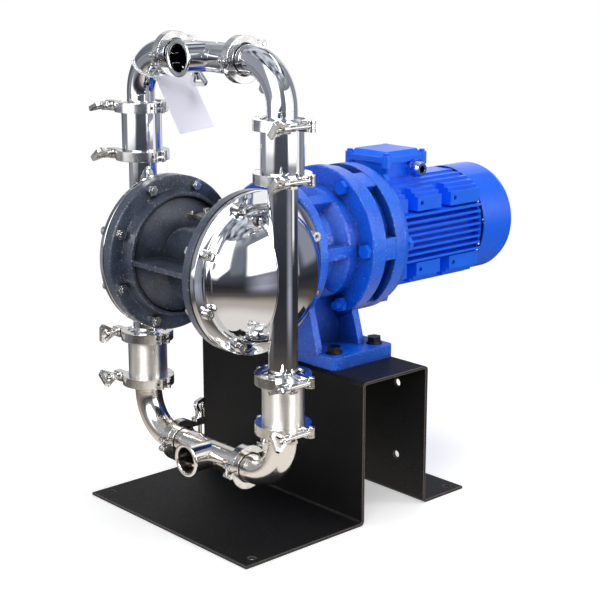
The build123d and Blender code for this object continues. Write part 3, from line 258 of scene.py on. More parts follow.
@dataclass(frozen=True)
class SatinStainless:
    """Stainless turned and wiped with an abrasive pad: fine rings round the piece, soft streaks of light.

    The rings draw each light out across them, so that an upright barrel shows upright streaks.
    """

    name: str = "satin_stainless"
    colour: str = "f0ede8"
    shade: str = "d0cdc7"
    roughness: float = 0.36
    grain_mm: float = 0.8
    along: Point = (0.02, 0.02, 1.0)
    ringed: float = 0.9
    # A quarter turn: light spreads across the rings, not along them
    ring_turn: float = 0.25
    drift: Span = (0.7, 1.4)
    relief: float = 0.25
    depth: float = 0.00005

    def build(self) -> Material:
        """Makes the node material."""
        surface = Surface(self.name)
        if self.ringed:
            rings = surface.add("Tangent", {"direction_type": "RADIAL", "axis": "Z"})
            surface.feed(surface.shader, {
                "Tangent": rings, "Anisotropic": self.ringed, "Anisotropic Rotation": self.ring_turn})
        grain, normals = surface.skin(self.grain_mm, self.relief, self.depth, along=self.along)
        tone = surface.add("ValToRGB", inputs={0: grain}, stops=((0.0, self.shade), (1.0, self.colour)))
        return surface.done(grain, self.roughness, self.drift, {
            "Metallic": 1.0, "Base Color": tone, "Normal": normals})


@dataclass(frozen=True)
class BareMetal:
    """Metal left as turned, rolled, sintered or cast: an even, slightly hazy skin with softened edges.

    With a shade, it lies in wide, faint patches of brighter and duller metal, as tumbling leaves them.
    """

    name: str
    colour: str
    roughness: float = 0.3
    grain_mm: float = 1.0
    edge_mm: float = 0.4
    depth: float = 0.00004
    # The share of the own colour left under the painted shade in the deepest recess
    recess: float = 0.2
    drift: Span = (0.7, 1.4)
    shade: str = ""
    patch_mm: float = 18.0
    relief: float = 0.2
    reach_mm: float = 4.0

    def build(self) -> Material:
        """Makes the node material."""
        surface = Surface(self.name)
        edge = surface.add("Bevel", BEVEL, {"Radius": self.edge_mm * MM})
        grain, normals = surface.skin(self.grain_mm, self.relief, self.depth, under=edge)
        colour = linear(self.colour)
        if self.shade:
            grain = surface.add("TexNoise", inputs={
                "Scale": cycles_per_metre(self.patch_mm), "Detail": 2.0, "Vector": surface.place})
            colour = surface.add("ValToRGB", inputs={0: grain}, stops=((0.3, self.shade), (0.62, self.colour)))
        # Painted shade: the colour darkens towards near-black in corners and recesses
        unshaded = surface.openness(self.reach_mm, self.recess)
        return surface.done(grain, self.roughness, self.drift, {
            "Metallic": 1.0, "Base Color": surface.shaded_in_recesses(unshaded, colour), "Normal": normals})


@dataclass(frozen=True)
class PaintedMetal:
    """Sprayed enamel on metal: a glossy film that follows the skin beneath it, darkened by painted shade in
    recesses.

    Single grains of a sand skin carry painted glints, and worn edges show what is under the paint.
    """

    name: str
    colour: str
    shade: str
    relief: Relief
    roughness: float = 0.32
    coat: float = 0.5
    grain_mm: float = 2.0
    depth: float = 0.0002
    edge_mm: float = 1.5
    specular: float = 0.3
    # The share of the own colour left under the painted shade in the deepest recess
    recess: float = 0.25
    reach_mm: float = 25.0
    wear: str = ""
    wear_share: float = 0.0
    painted_glint: str = ""
    drift: Span = (0.75, 1.35)
    # The film is thicker and thinner over spans of this many grains
    swell: float = 9.0

    def build(self) -> Material:
        """Makes the node material."""
        surface = Surface(self.name)
        edge = surface.add("Bevel", BEVEL, {"Radius": self.edge_mm * MM})
        grain, normals = surface.skin(self.grain_mm, self.relief.value, self.depth, 4.0, 0.6, edge)
        swell = surface.add("TexNoise", inputs={
            "Scale": cycles_per_metre(self.grain_mm * self.swell), "Detail": 2.0, "Vector": surface.place})
        film = surface.add("ValToRGB", inputs={0: swell}, stops=((0.25, self.shade), (0.6, self.colour)))
        colour = self.marked(surface, film.outputs[0], grain, edge)
        # Painted shade: the film darkens in recesses, and its coat thins there too
        unshaded = surface.openness(self.reach_mm, self.recess)
        return surface.done(grain, self.roughness, self.drift, {
            "Base Color": surface.shaded_in_recesses(unshaded, colour), "Specular IOR Level": self.specular,
            "Coat Weight": surface.add("Math", PRODUCT, {0: unshaded, 1: self.coat}),
            "Coat Roughness": 0.05, "Normal": normals, "Coat Normal": normals})

    def marked(self, surface: Surface, colour: Socket, grain: Node,
               edge: Node) -> Socket:
        """Gives the film its painted glints and its worn edges.

        Args:
            surface: The material.
            colour: The film's colour.
            grain: The grain of the skin.
            edge: The normals of the softened edges.

        Returns:
            The colour with its marks.
        """
        true = surface.add("NewGeometry").outputs["Normal"]
        flat = surface.add("VectorMath", {"operation": "DOT_PRODUCT"}, {0: edge, 1: true}).outputs["Value"]
        if self.painted_glint:
            # Painted glints: single grains of the skin are lightened towards a pale colour, most of all along an
            # edge
            highlit_grains = surface.add("MapRange", inputs={0: grain, 1: 0.56, 2: 0.66})
            along = surface.add("MapRange", inputs={0: flat, 1: 0.999, 2: 0.96, 3: 0.12, 4: 1.0})
            share = surface.add("Math", PRODUCT, {0: highlit_grains, 1: along})
            colour = surface.add("Mix", COLOURS, {0: share, 6: colour, 7: linear(self.painted_glint)}).outputs[2]
        if self.wear:
            # The grain makes the worn line ragged
            ragged = surface.add("Math", SCALED_SUM, {0: grain, 1: 0.16, 2: flat})
            share = surface.add("MapRange", inputs={0: ragged, 1: 1.06, 2: 0.98, 3: 0.0,
                                                              4: self.wear_share})
            colour = surface.add("Mix", COLOURS, {0: share, 6: colour, 7: linear(self.wear)}).outputs[2]
        return colour


@dataclass(frozen=True)
class SharedScrew:
    """Screws in two finishes: bare bright stainless on the pump, painted over on the terminal box."""

    name: str = "screw_bare_and_painted"
    steel: str = "f0efec"
    paint: str = "0b62f8"
    divide_mm: float = 150.0
    edge_mm: float = 0.6
    roughness: float = 0.2

    def build(self) -> Material:
        """Makes the node material."""
        surface = Surface(self.name)
        where = surface.add("NewGeometry").outputs["Position"]
        depth = surface.add("SeparateXYZ", inputs={0: where}).outputs["Y"]
        bare = surface.add("Math", {"operation": "LESS_THAN"}, {0: depth, 1: self.divide_mm * MM})
        surface.feed(surface.shader, {
            "Base Color": surface.add("Mix", COLOURS, {
                0: bare, 6: linear(self.paint), 7: linear(self.steel)}).outputs[2],
            "Metallic": bare, "Roughness": self.roughness,
            "Normal": surface.add("Bevel", BEVEL, {"Radius": self.edge_mm * MM})})
        return surface.material


@dataclass(frozen=True)
class MouldedPolymer:
    """Moulded rubber, nylon or fluoropolymer: no metal in it, a faint mould grain and a soft sheen."""

    name: str
    colour: str
    roughness: float = 0.5
    grain_mm: float = 1.5
    translucent: float = 0.0
    drift: Span = (0.8, 1.2)
    relief: float = 0.2
    depth: float = 0.00008

    def build(self) -> Material:
        """Makes the node material."""
        surface = Surface(self.name)
        grain, normals = surface.skin(self.grain_mm, self.relief, self.depth)
        return surface.done(grain, self.roughness, self.drift, {
            "Base Color": linear(self.colour), "Subsurface Weight": self.translucent,
            "Subsurface Scale": 2.0 * MM, "Normal": normals})


@dataclass(frozen=True)
class CoatedCard:
    """Thin coated card, calendered: matt white fibres with a slight mottle."""

    name: str = "coated_card"
    colour: str = "f8f7ff"
    shade: str = "e9e8fb"
    roughness: float = 0.55
    fibre_mm: float = 1.4
    relief: float = 0.15
    depth: float = 0.00005

    def build(self) -> Material:
        """Makes the node material."""
        surface = Surface(self.name)
        fibre, normals = surface.skin(self.fibre_mm, self.relief, self.depth, 5.0)
        surface.feed(surface.shader, {
            "Base Color": surface.add("ValToRGB", inputs={0: fibre},
                                      stops=((0.0, self.shade), (1.0, self.colour))),
            "Roughness": self.roughness, "Normal": normals})
        return surface.material


class Finishes:
    """All finishes of the pump, each built once and handed out by name."""

    def __init__(self) -> None:
        """Builds the materials."""
        recipes = [
            PolishedStainless(),
            SatinStainless(),
            # Wiped by hand in all directions: blurred lights without a grain
            SatinStainless("wiped_stainless", "f4f0ea", "e4dfd7", 0.15, 1.5, (1.0, 1.0, 1.0), 0.0),
            # Investment-cast and tumbled bright: a fine pebbled skin
            BareMetal("cast_stainless", "f2f1ef", 0.13, 2.2, 1.2, 0.00003, 0.15, (0.75, 1.5), "d2d1cf"),
            # Rolled threads and forged heads, wiped: bright, a little hazy
            BareMetal("bolt_stainless", "f8f7f4", 0.15),
            # Plated glossy; its blue tint is a painted reflection of the blue box that it stands against
            BareMetal("nickel_plated_brass", "9db6f0", 0.14),
            # Turned and oiled: mid grey with soft lights
            BareMetal("turned_steel", "9b9a98", 0.28),
            # Ground fine: nearly a mirror, grey
            BareMetal("ground_bearing_steel", "b8b9bc", 0.12),
            # Cast and left raw: grey, dull and coarse
            BareMetal("grey_iron", "6d6d6e", 0.45, 1.8),
            # Pressed from powder: warm and dull
            BareMetal("sintered_bronze", "b98746", 0.4),
            # Wire under baked varnish: brown, with the wires' coarse grain
            BareMetal("varnished_copper", "8a5a35", 0.35, 2.0),
            # Blackened in a hot bath and oiled: a dark sheen
            BareMetal("black_oxide_steel", "3a3836", 0.34, 1.5, 0.8),
            # The glint colours of the blue and charcoal enamels are painted highlights
            PaintedMetal("blue_enamel_on_sand_casting", "0b72ff", "0a60f0", Relief.SAND_CAST, 0.3, 1.0, 5.0,
                         0.0022, 3.4, 0.2, 0.12, 90.0, painted_glint="b4d2ff"),
            PaintedMetal("blue_enamel_on_die_casting", "0b72ff", "0b68f8", Relief.DIE_CAST, grain_mm=3.4,
                         depth=0.0008, edge_mm=1.6, recess=0.7, reach_mm=6.0),
            PaintedMetal("blue_enamel_on_pressed_steel", "0b6cff", "0b64f8", Relief.PRESSED),
            PaintedMetal("charcoal_enamel_on_casting", "4b5466", "363e4c", Relief.SAND_CAST, 0.3, 1.0, 4.0,
                         0.0009, 3.4, 0.15, 0.03, 120.0, painted_glint="c3c8d2"),
            PaintedMetal("black_paint_on_steel_plate", "0d0d0f", "08080a", Relief.PRESSED, 0.5, 0.0, 3.0, 0.0003,
                         4.0, 0.2, 0.5, wear="a0968c", wear_share=0.7),
            SharedScrew(),
            MouldedPolymer("moulded_black_rubber", "1b1b1c", 0.6),
            MouldedPolymer("white_fluoropolymer", "e8e8e4", 0.45, translucent=0.1),
            MouldedPolymer("black_nylon", "1d1d1f"),
            MouldedPolymer("white_nylon", "f2f2f4", 0.4, 1.0, 0.1),
            CoatedCard(),
        ]
        self._made = {recipe.name: recipe.build() for recipe in recipes}

    def dress(self, obj: Object, name: str) -> Object:
        """Gives an object one finish.

        Args:
            obj: The object to dress.
            name: The finish's name.

        Returns:
            The same object.
        """
        obj.data.materials.clear()
        obj.data.materials.append(self._made[name])
        return obj


# Mesh helpers


def placed(origin: Point, z_dir: Point, x_dir: Point | None = None) -> Matrix:
    """A placing matrix from a local frame in millimetres.

    Args:
        origin: The local origin in the pump's frame, in millimetres.
        z_dir: The direction of local Z.
        x_dir: The direction of local X, or None for any.

    Returns:
        The matrix, with its origin in metres.
    """
    z_axis = Vector(z_dir).normalized()
    if x_dir is None:
        x_dir = (0.0, 0.0, 1.0) if abs(z_axis.z) < 0.9 else (1.0, 0.0, 0.0)
    x_axis = Vector(x_dir)
    x_axis = (x_axis - z_axis * x_axis.dot(z_axis)).normalized()
    matrix = Matrix((x_axis, z_axis.cross(x_axis), z_axis)).transposed().to_4x4()
    matrix.translation = Vector(origin) * MM
    return matrix


def ring(radius: float, steps: int, height: float = 0.0) -> list[Point]:
    """Evenly spaced points round Z, in the unit of their radius and height."""
    angles = [2 * math.pi * i / steps for i in range(steps)]
    return [(radius * math.cos(angle), radius * math.sin(angle), height) for angle in angles]


def linked(name: str, data: bpy.types.ID, place: Point = (0.0, 0.0, 0.0), facing: Vector | None = None) -> Object:
    """Makes an object and links it to the scene.

    Args:
        name: The object's name.
        data: Its mesh, camera or light.
        place: Where it stands, in metres.
        facing: The direction that its -Z faces, or None.

    Returns:
        The object.
    """
    obj = bpy.data.objects.new(name, data)
    bpy.context.scene.collection.objects.link(obj)
    obj.location = place
    if facing:
        obj.rotation_mode = "QUATERNION"
        obj.rotation_quaternion = facing.to_track_quat("-Z", "Y")
    return obj


class MeshMaker:
    """Collects surfaces and turns them into one object."""

    def __init__(self, name: str) -> None:
        """Starts an empty mesh for the object of this name."""
        self.name = name
        self.bm = bmesh.new()

    def grid(self, rows: Sequence[Sequence[Vector]]) -> None:
        """Adds a grid of quads from equal-length rows in metres, each joined end to start."""
        made = [[self.bm.verts.new(point) for point in row] for row in rows]
        for upper, lower in zip(made, made[1:]):
            for i in range(len(upper)):
                j = (i + 1) % len(upper)
                self.bm.faces.new((upper[i], upper[j], lower[j], lower[i]))

    def lathe(self, profile: Profile, matrix: Matrix, steps: int = 96) -> None:
        """Adds a surface of revolution about local Z.

        Args:
            profile: (radius, height) points in millimetres, along the surface.
            matrix: Where local Z and the origin lie.
            steps: Facets round the axis.
        """
        self.grid([[matrix @ (Vector(point) * MM) for point in ring(radius, steps, height)]
                   for radius, height in profile])

    def sweep(self, radius: float, path: Sequence[Matrix], steps: int = 64) -> None:
        """Adds a round tube of a radius in millimetres through frames whose local Z runs along it."""
        self.grid([[matrix @ (Vector(point) * MM) for point in ring(radius, steps)] for matrix in path])

    def finish(self, material: str, finishes: Finishes, sharp: float = 32.0) -> Object:
        """Makes the object, shaded smooth with sharp corners kept.

        Args:
            material: The finish's name.
            finishes: All finishes.
            sharp: The angle in degrees above which an edge stays sharp.

        Returns:
            The object.
        """
        bmesh.ops.remove_doubles(self.bm, verts=self.bm.verts, dist=1e-6)
        bmesh.ops.recalc_face_normals(self.bm, faces=self.bm.faces)
        mesh = bpy.data.meshes.new(self.name)
        self.bm.to_mesh(mesh)
        self.bm.free()
        obj = linked(self.name, mesh)
        mesh.shade_smooth()
        mesh.set_sharp_from_angle(angle=math.radians(sharp))
        return finishes.dress(obj, material)


def report(obj: Object, body: str = "pump", nodes: Iterable[str] = ()) -> Object:
    """Hangs a piece on its body, hides the nodes it stands for and logs it.

    Args:
        obj: The piece.
        body: The body it moves with.
        nodes: CAD nodes that it stands for.

    Returns:
        The piece.
    """
    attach(obj, body)
    names = list(nodes)
    if names:
        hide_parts(*names)
    LOG.info("%s: %d faces, on %s", obj.name, len(obj.data.polygons), body)
    return obj


# Sanitary fittings


@dataclass(frozen=True)
class Ferrule:
    """A clamp ferrule on the end of a tube."""

    od: float
    rim: float = 2.85
    slope: float = 20.0

    def outline(self, body_radius: float, bore: float) -> list[Span]:
        """The ferrule's profile from its tube side to its bore.

        Args:
            body_radius: Radius of the tube that it is welded to.
            bore: Radius of the tube's bore.

        Returns:
            (radius, height) points, with the face at height 0 and the tube below.
        """
        edge = self.od / 2
        back = self.rim + (edge - body_radius) * math.tan(math.radians(self.slope))
        # The first point holds the shading of the straight tube up to the fillet
        root = [(body_radius, -back - 3.5), (body_radius, -back - 2.0), (body_radius + 0.25, -back - 0.6),
                (body_radius + 1.0, -back - 0.05)]
        return root + [(edge - 0.5, -self.rim - 0.1), (edge, -self.rim + 0.4), (edge, -0.4), (edge - 0.4, 0.0),
                       (bore + 0.4, 0.0), (bore, -0.4), (bore, -back - 2.0)]


@dataclass(frozen=True)
class TubeSet:
    """Tube sizes shared by the whole pipe loop."""

    od: float = 50.8
    wall: float = 2.0
    gasket: float = 2.0
    large: Ferrule = Ferrule(77.5)
    small: Ferrule = Ferrule(64.0)

    @property
    def radius(self) -> float:
        """Outer radius of the tube."""
        return self.od / 2

    @property
    def bore(self) -> float:
        """Radius of the tube's bore."""
        return self.radius - self.wall

    def weld(self, foot: float, top: float) -> list[Span]:
        """Profile of a weld bead round the tube, from half its width at its foot and at its top."""
        low, high = self.radius - 0.2, self.radius + 0.35
        return [(low, -foot), (high, -top), (high, top), (low, foot)]

    def barrel(self, radius: float, half: float) -> list[Span]:
        """Profile of a straight body between two large ferrules, from its radius and half its length."""
        end = self.large.outline(radius, self.bore)
        return [(r, -half - z) for r, z in reversed(end)][1:] + [(r, half + z) for r, z in end][:-1]


@dataclass
class PipeLoop:
    """The two manifolds: four elbows, two tees and the four ball valve bodies."""

    finishes: Finishes
    tube: TubeSet = TubeSet()
    pipe_x: float = 192.5
    valve_offset: float = 170.0
    valve_pitch: float = 87.5
    elbow_leg: float = 98.5
    elbow_radius: float = 76.2
    elbow_steps: int = 24
    port_reach: float = 64.0
    lip_steps: int = 16
    valve_od: float = 73.0
    weld_x: float = 33.0
    weld_inset: float = 4.0
    facets: int = 96

    @property
    def run_x(self) -> float:
        """Distance of the manifold clamps from the middle."""
        return self.pipe_x - self.elbow_leg

    @property
    def run_rise(self) -> float:
        """Height of a manifold above the chamber axis."""
        return self.valve_offset + self.valve_pitch + self.elbow_leg

    def lip(self) -> list[Span]:
        """Profile of a tee's open port: a ferrule whose face is one round lip."""
        outline = self.tube.small.outline(self.tube.radius, self.tube.bore)[:5]
        inner, outer = self.tube.bore, self.tube.small.od / 2
        middle, reach = (inner + outer) / 2, (outer - inner) / 2
        for i in range(self.lip_steps + 1):
            angle = math.pi * i / self.lip_steps
            outline.append((middle + reach * math.cos(angle), self.tube.small.rim * (math.sin(angle) - 1.0)))
        return outline + [(inner, -14.0)]

    def finish_of(self, level: Level) -> str:
        """The finish of a manifold: the upper one is buffed, the lower one only wiped."""
        return "polished_stainless" if level is Level.DISCHARGE else "wiped_stainless"

    def elbow(self, side: Side, level: Level) -> Object:
        """Builds one elbow with its two ferrules and weld beads.

        Args:
            side: Near or far.
            level: Discharge or suction.

        Returns:
            The elbow.
        """
        sx, sz = side.value, level.value
        low = self.valve_offset + self.valve_pitch
        foot = placed((sx * self.pipe_x, 0, AXIS_HEIGHT + sz * low), (0, 0, sz), (-sx, 0, 0))
        maker = MeshMaker(f"elbow_{level.name.lower()}_{side.name.lower()}")
        face, leg, bend = self.tube.gasket / 2, self.elbow_leg, self.elbow_radius
        tail = leg - bend
        route = [foot @ placed((0, 0, height), (0, 0, 1), (1, 0, 0)) for height in (face + 6.0, tail * 0.9, tail)]
        for i in range(1, self.elbow_steps + 1):
            angle = math.radians(90 * i / self.elbow_steps)
            c, s = math.cos(angle), math.sin(angle)
            route.append(foot @ placed((bend * (1 - c), 0, tail + bend * s), (s, 0, c), (c, 0, -s)))
        route += [foot @ placed((reach, 0, leg), (1, 0, 0), (0, 0, -1))
                  for reach in (leg - tail * 0.9, leg - face - 5.0)]
        maker.sweep(self.tube.radius, route)
        start = foot @ placed((0, 0, face), (0, 0, -1), (1, 0, 0))
        end = foot @ placed((leg - face, 0, leg), (1, 0, 0), (0, 0, -1))
        maker.lathe(self.tube.large.outline(self.tube.radius, self.tube.bore), start)
        maker.lathe(self.tube.small.outline(self.tube.radius, self.tube.bore), end)
        for where in (route[2], route[-2]):
            maker.lathe(self.tube.weld(1.2, 0.5), where)
        return report(maker.finish(self.finish_of(level), self.finishes))

    def wall(self, maker: MeshMaker, centre: Matrix, radius: float, way: Point, end: float) -> None:
        """Adds one straight wall of a tee, from its mitre to its ferrule.

        Args:
            maker: The tee's mesh.
            centre: The tee's own frame.
            radius: The wall's radius.
            way: The direction it runs in, along X or Y.
            end: Where its ferrule's face lies.
        """
        columns = []
        for a, b, _ in ring(radius, self.facets):
            start = max(a, 0.0) if way[0] else abs(a)
            across = (0.0, -a, b) if way[0] else (a, 0.0, b)
            columns.append([centre @ ((Vector(across) + Vector(way) * reach) * MM)
                            for reach in (start, (start + end) / 2, end - self.weld_inset)])
        maker.grid(list(zip(*columns)))

    def tee(self, level: Level) -> Object:
        """Builds one tee with mitred branch, ferrules, an open port and weld beads.

        Args:
            level: Discharge or suction.

        Returns:
            The tee.
        """
        maker = MeshMaker(f"tee_{level.name.lower()}")
        reach = self.run_x - self.tube.gasket / 2
        centre = placed((0, 0, AXIS_HEIGHT + level.value * self.run_rise), (0, 0, 1), (1, 0, 0))
        for radius in (self.tube.radius, self.tube.bore):
            for sign in (-1, 1):
                self.wall(maker, centre, radius, (sign, 0, 0), reach)
            self.wall(maker, centre, radius, (0, -1, 0), self.port_reach)
        for sign in (-1, 1):
            maker.lathe(self.tube.small.outline(self.tube.radius, self.tube.bore),
                        centre @ placed((sign * reach, 0, 0), (sign, 0, 0)))
        maker.lathe(self.lip(), centre @ placed((0, -self.port_reach, 0), (0, -1, 0)))
        for sign in (-1, 1):
            maker.lathe(self.tube.weld(1.0, 0.45), centre @ placed((sign * self.weld_x, 0, 0), (1, 0, 0)))
        obj = maker.finish(self.finish_of(level), self.finishes)
        return report(obj, nodes=[f"{level.name.lower()}_tee"])

    def valve_body(self, side: Side, level: Level) -> Object:
        """Builds one ball valve body: a turned barrel between two ferrules.

        Args:
            side: Near or far.
            level: Discharge or suction.

        Returns:
            The body.
        """
        middle = self.valve_offset + self.valve_pitch / 2
        origin = (side.value * self.pipe_x, 0, AXIS_HEIGHT + level.value * middle)
        maker = MeshMaker(f"valve_body_{level.name.lower()}_{side.name.lower()}")
        profile = self.tube.barrel(self.valve_od / 2, (self.valve_pitch - self.tube.gasket) / 2)
        maker.lathe(profile, placed(origin, (0, 0, 1), (1, 0, 0)), 128)
        finish = "polished_stainless" if level is Level.DISCHARGE else "satin_stainless"
        return report(maker.finish(finish, self.finishes))

    def build(self) -> None:
        """Builds every piece of the loop and dresses the valve balls."""
        elbows = [self.elbow(side, level) for side in Side for level in Level]
        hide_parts("manifold_elbows")
        for level in Level:
            self.tee(level)
            bodies = [self.valve_body(side, level) for side in Side]
            word = "upper" if level is Level.DISCHARGE else "lower"
            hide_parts(f"{word}_valve_bodies")
            for side in Side:
                self.finishes.dress(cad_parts[f"{word}_{side.name.lower()}_ball"], "polished_stainless")


@dataclass
class ChamberCover:
    """A domed chamber cover with the flow pipe let into its crown."""

    side: Side
    finishes: Finishes
    tube: TubeSet = TubeSet()
    flange_r: float = 141.5
    seat_x: float = 124.0
    face_x: float = 134.5
    dome_r: float = 118.0
    skirt: float = 7.5
    depth: float = 65.0
    pipe_x: float = 192.5
    pipe_half: float = 169.0
    bead: float = 1.3
    dome_steps: int = 40
    dome_facets: int = 192
    seam_steps: int = 120

    def dome_profile(self) -> list[Span]:
        """The cover's outer profile, from its seat round the flange and over the dome."""
        flange, face, dome = self.flange_r, self.face_x, self.dome_r
        points = [(dome - 3, self.seat_x), (flange - 0.6, self.seat_x), (flange, self.seat_x + 0.6),
                  (flange, face - 1.6), (flange - 0.5, face - 0.5), (flange - 1.6, face), (dome + 5.0, face),
                  (dome + 2.6, face + 0.3), (dome + 0.9, face + 1.4), (dome + 0.1, face + 3.4)]
        for i in range(self.dome_steps + 1):
            angle = math.pi / 2 * i / self.dome_steps
            # The crown stays open by a hair, so that its ring has no points in one place
            points.append((max(dome * math.cos(angle), 1e-4), face + self.skirt + self.depth * math.sin(angle)))
        return points

    def seam(self) -> list[Vector]:
        """Points round the line where pipe and dome meet, in millimetres, for the near side."""
        upper = []
        for i in range(1, self.seam_steps):
            angle = math.pi * 2 * i / self.seam_steps
            x = self.pipe_x + self.tube.radius * math.cos(angle)
            y = self.tube.radius * math.sin(angle)
            share = 1 - ((x - self.face_x - self.skirt) / self.depth) ** 2
            z_squared = self.dome_r ** 2 * share - y * y
            if z_squared > 0:
                upper.append(Vector((x, y, math.sqrt(z_squared))))
        return upper + [Vector((p.x, p.y, -p.z)) for p in reversed(upper)]

    def build(self) -> Object:
        """Builds the cover and returns it."""
        sign = self.side.value
        name = f"{self.side.name.lower()}_cover"
        maker = MeshMaker(f"dome_{name}")
        maker.lathe(self.dome_profile(), placed((0, 0, AXIS_HEIGHT), (sign, 0, 0)), self.dome_facets)
        pipe = self.tube.barrel(self.tube.radius, self.pipe_half)
        half = len(pipe) // 2
        # Two more rings in the middle keep the pipe's facets short
        pipe[half:half] = [(self.tube.radius, -40.0), (self.tube.radius, 40.0)]
        maker.lathe(pipe, placed((sign * self.pipe_x, 0, AXIS_HEIGHT), (0, 0, 1), (1, 0, 0)))
        seam = self.seam()
        path = []
        for i, point in enumerate(seam):
            along = (seam[(i + 1) % len(seam)] - seam[i - 1]).normalized()
            origin = (sign * point.x, point.y, AXIS_HEIGHT + point.z)
            path.append(placed(origin, (sign * along.x, along.y, along.z),
                               (0, 0, 1) if abs(along.z) < 0.8 else (1, 0, 0)))
        maker.sweep(self.bead, path + path[:1], 10)
        obj = maker.finish("polished_stainless", self.finishes, 40.0)
        return report(obj, nodes=[name])


# Pieces that keep their CAD shape


@dataclass
class CarriedPieces:
    """CAD nodes whose shape stays, under the finish of the real piece."""

    finishes_of: dict[str, tuple[str, ...]] = field(default_factory=lambda: {
        "black_paint_on_steel_plate": ("base_frame",),
        "black_oxide_steel": ("foot_bolts",),
        "blue_enamel_on_sand_casting": ("gearbox_housing", "ring_gear", "motor_flange"),
        "blue_enamel_on_die_casting": ("gearbox_bolts", "motor_frame", "rear_shield", "terminal_box",
                                       "terminal_lid"),
        "blue_enamel_on_pressed_steel": ("fan_cover",),
        "charcoal_enamel_on_casting": ("centre_housing",),
        "nickel_plated_brass": ("cable_gland",),
        "screw_bare_and_painted": ("cover_screws",),
        "wiped_stainless": ("inspection_plate",),
        "bolt_stainless": ("cover_bolts", "clamp_bolts"),
        "cast_stainless": ("clamp_bands",),
        "white_fluoropolymer": ("clamp_gaskets",),
        "moulded_black_rubber": ("near_diaphragm", "far_diaphragm"),
        "coated_card": ("tag_card",),
        "white_nylon": ("tag_strap",),
        "varnished_copper": ("stator",),
        "grey_iron": ("rotor",),
        "black_nylon": ("cooling_fan",),
        "turned_steel": ("motor_shaft", "eccentric_sleeve", "output_shaft", "yoke_rod", "diaphragm_plates"),
        "ground_bearing_steel": ("bearings", "front_cycloid_disc", "rear_cycloid_disc", "crank_roller"),
        "sintered_bronze": ("rod_bushes",),
    })

    def build(self, finishes: Finishes) -> None:
        """Dresses every carried node, the wing nuts too.

        Args:
            finishes: All finishes.
        """
        finish_of = {name: "cast_stainless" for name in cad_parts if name.startswith("nut_")}
        finish_of |= {name: finish for finish, names in self.finishes_of.items() for name in names}
        for name, finish in finish_of.items():
            finishes.dress(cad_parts[name], finish)
            LOG.info("%s: CAD shape kept, %s", name, finish)


# Studio


@dataclass(frozen=True)
class SoftZone:
    """One soft-edged panel on the studio's wall, as the polished metal sees it.

    The turn is in degrees to the right of the camera's direction, seen from the pump, the heights are in
    metres above the floor, and a strength of 1 is white.
    """

    turn: Span
    rise: Span
    strength: float
    soft_turn: float = 4.0
    soft_rise: float = 0.1
    colour: str = WHITE
    lean: float = 0.0


@dataclass(frozen=True)
class SoftLamp:
    """One soft lamp that faces the pump, with place and face in metres and power in watts."""

    name: str
    place: Point
    face: Span
    power: float


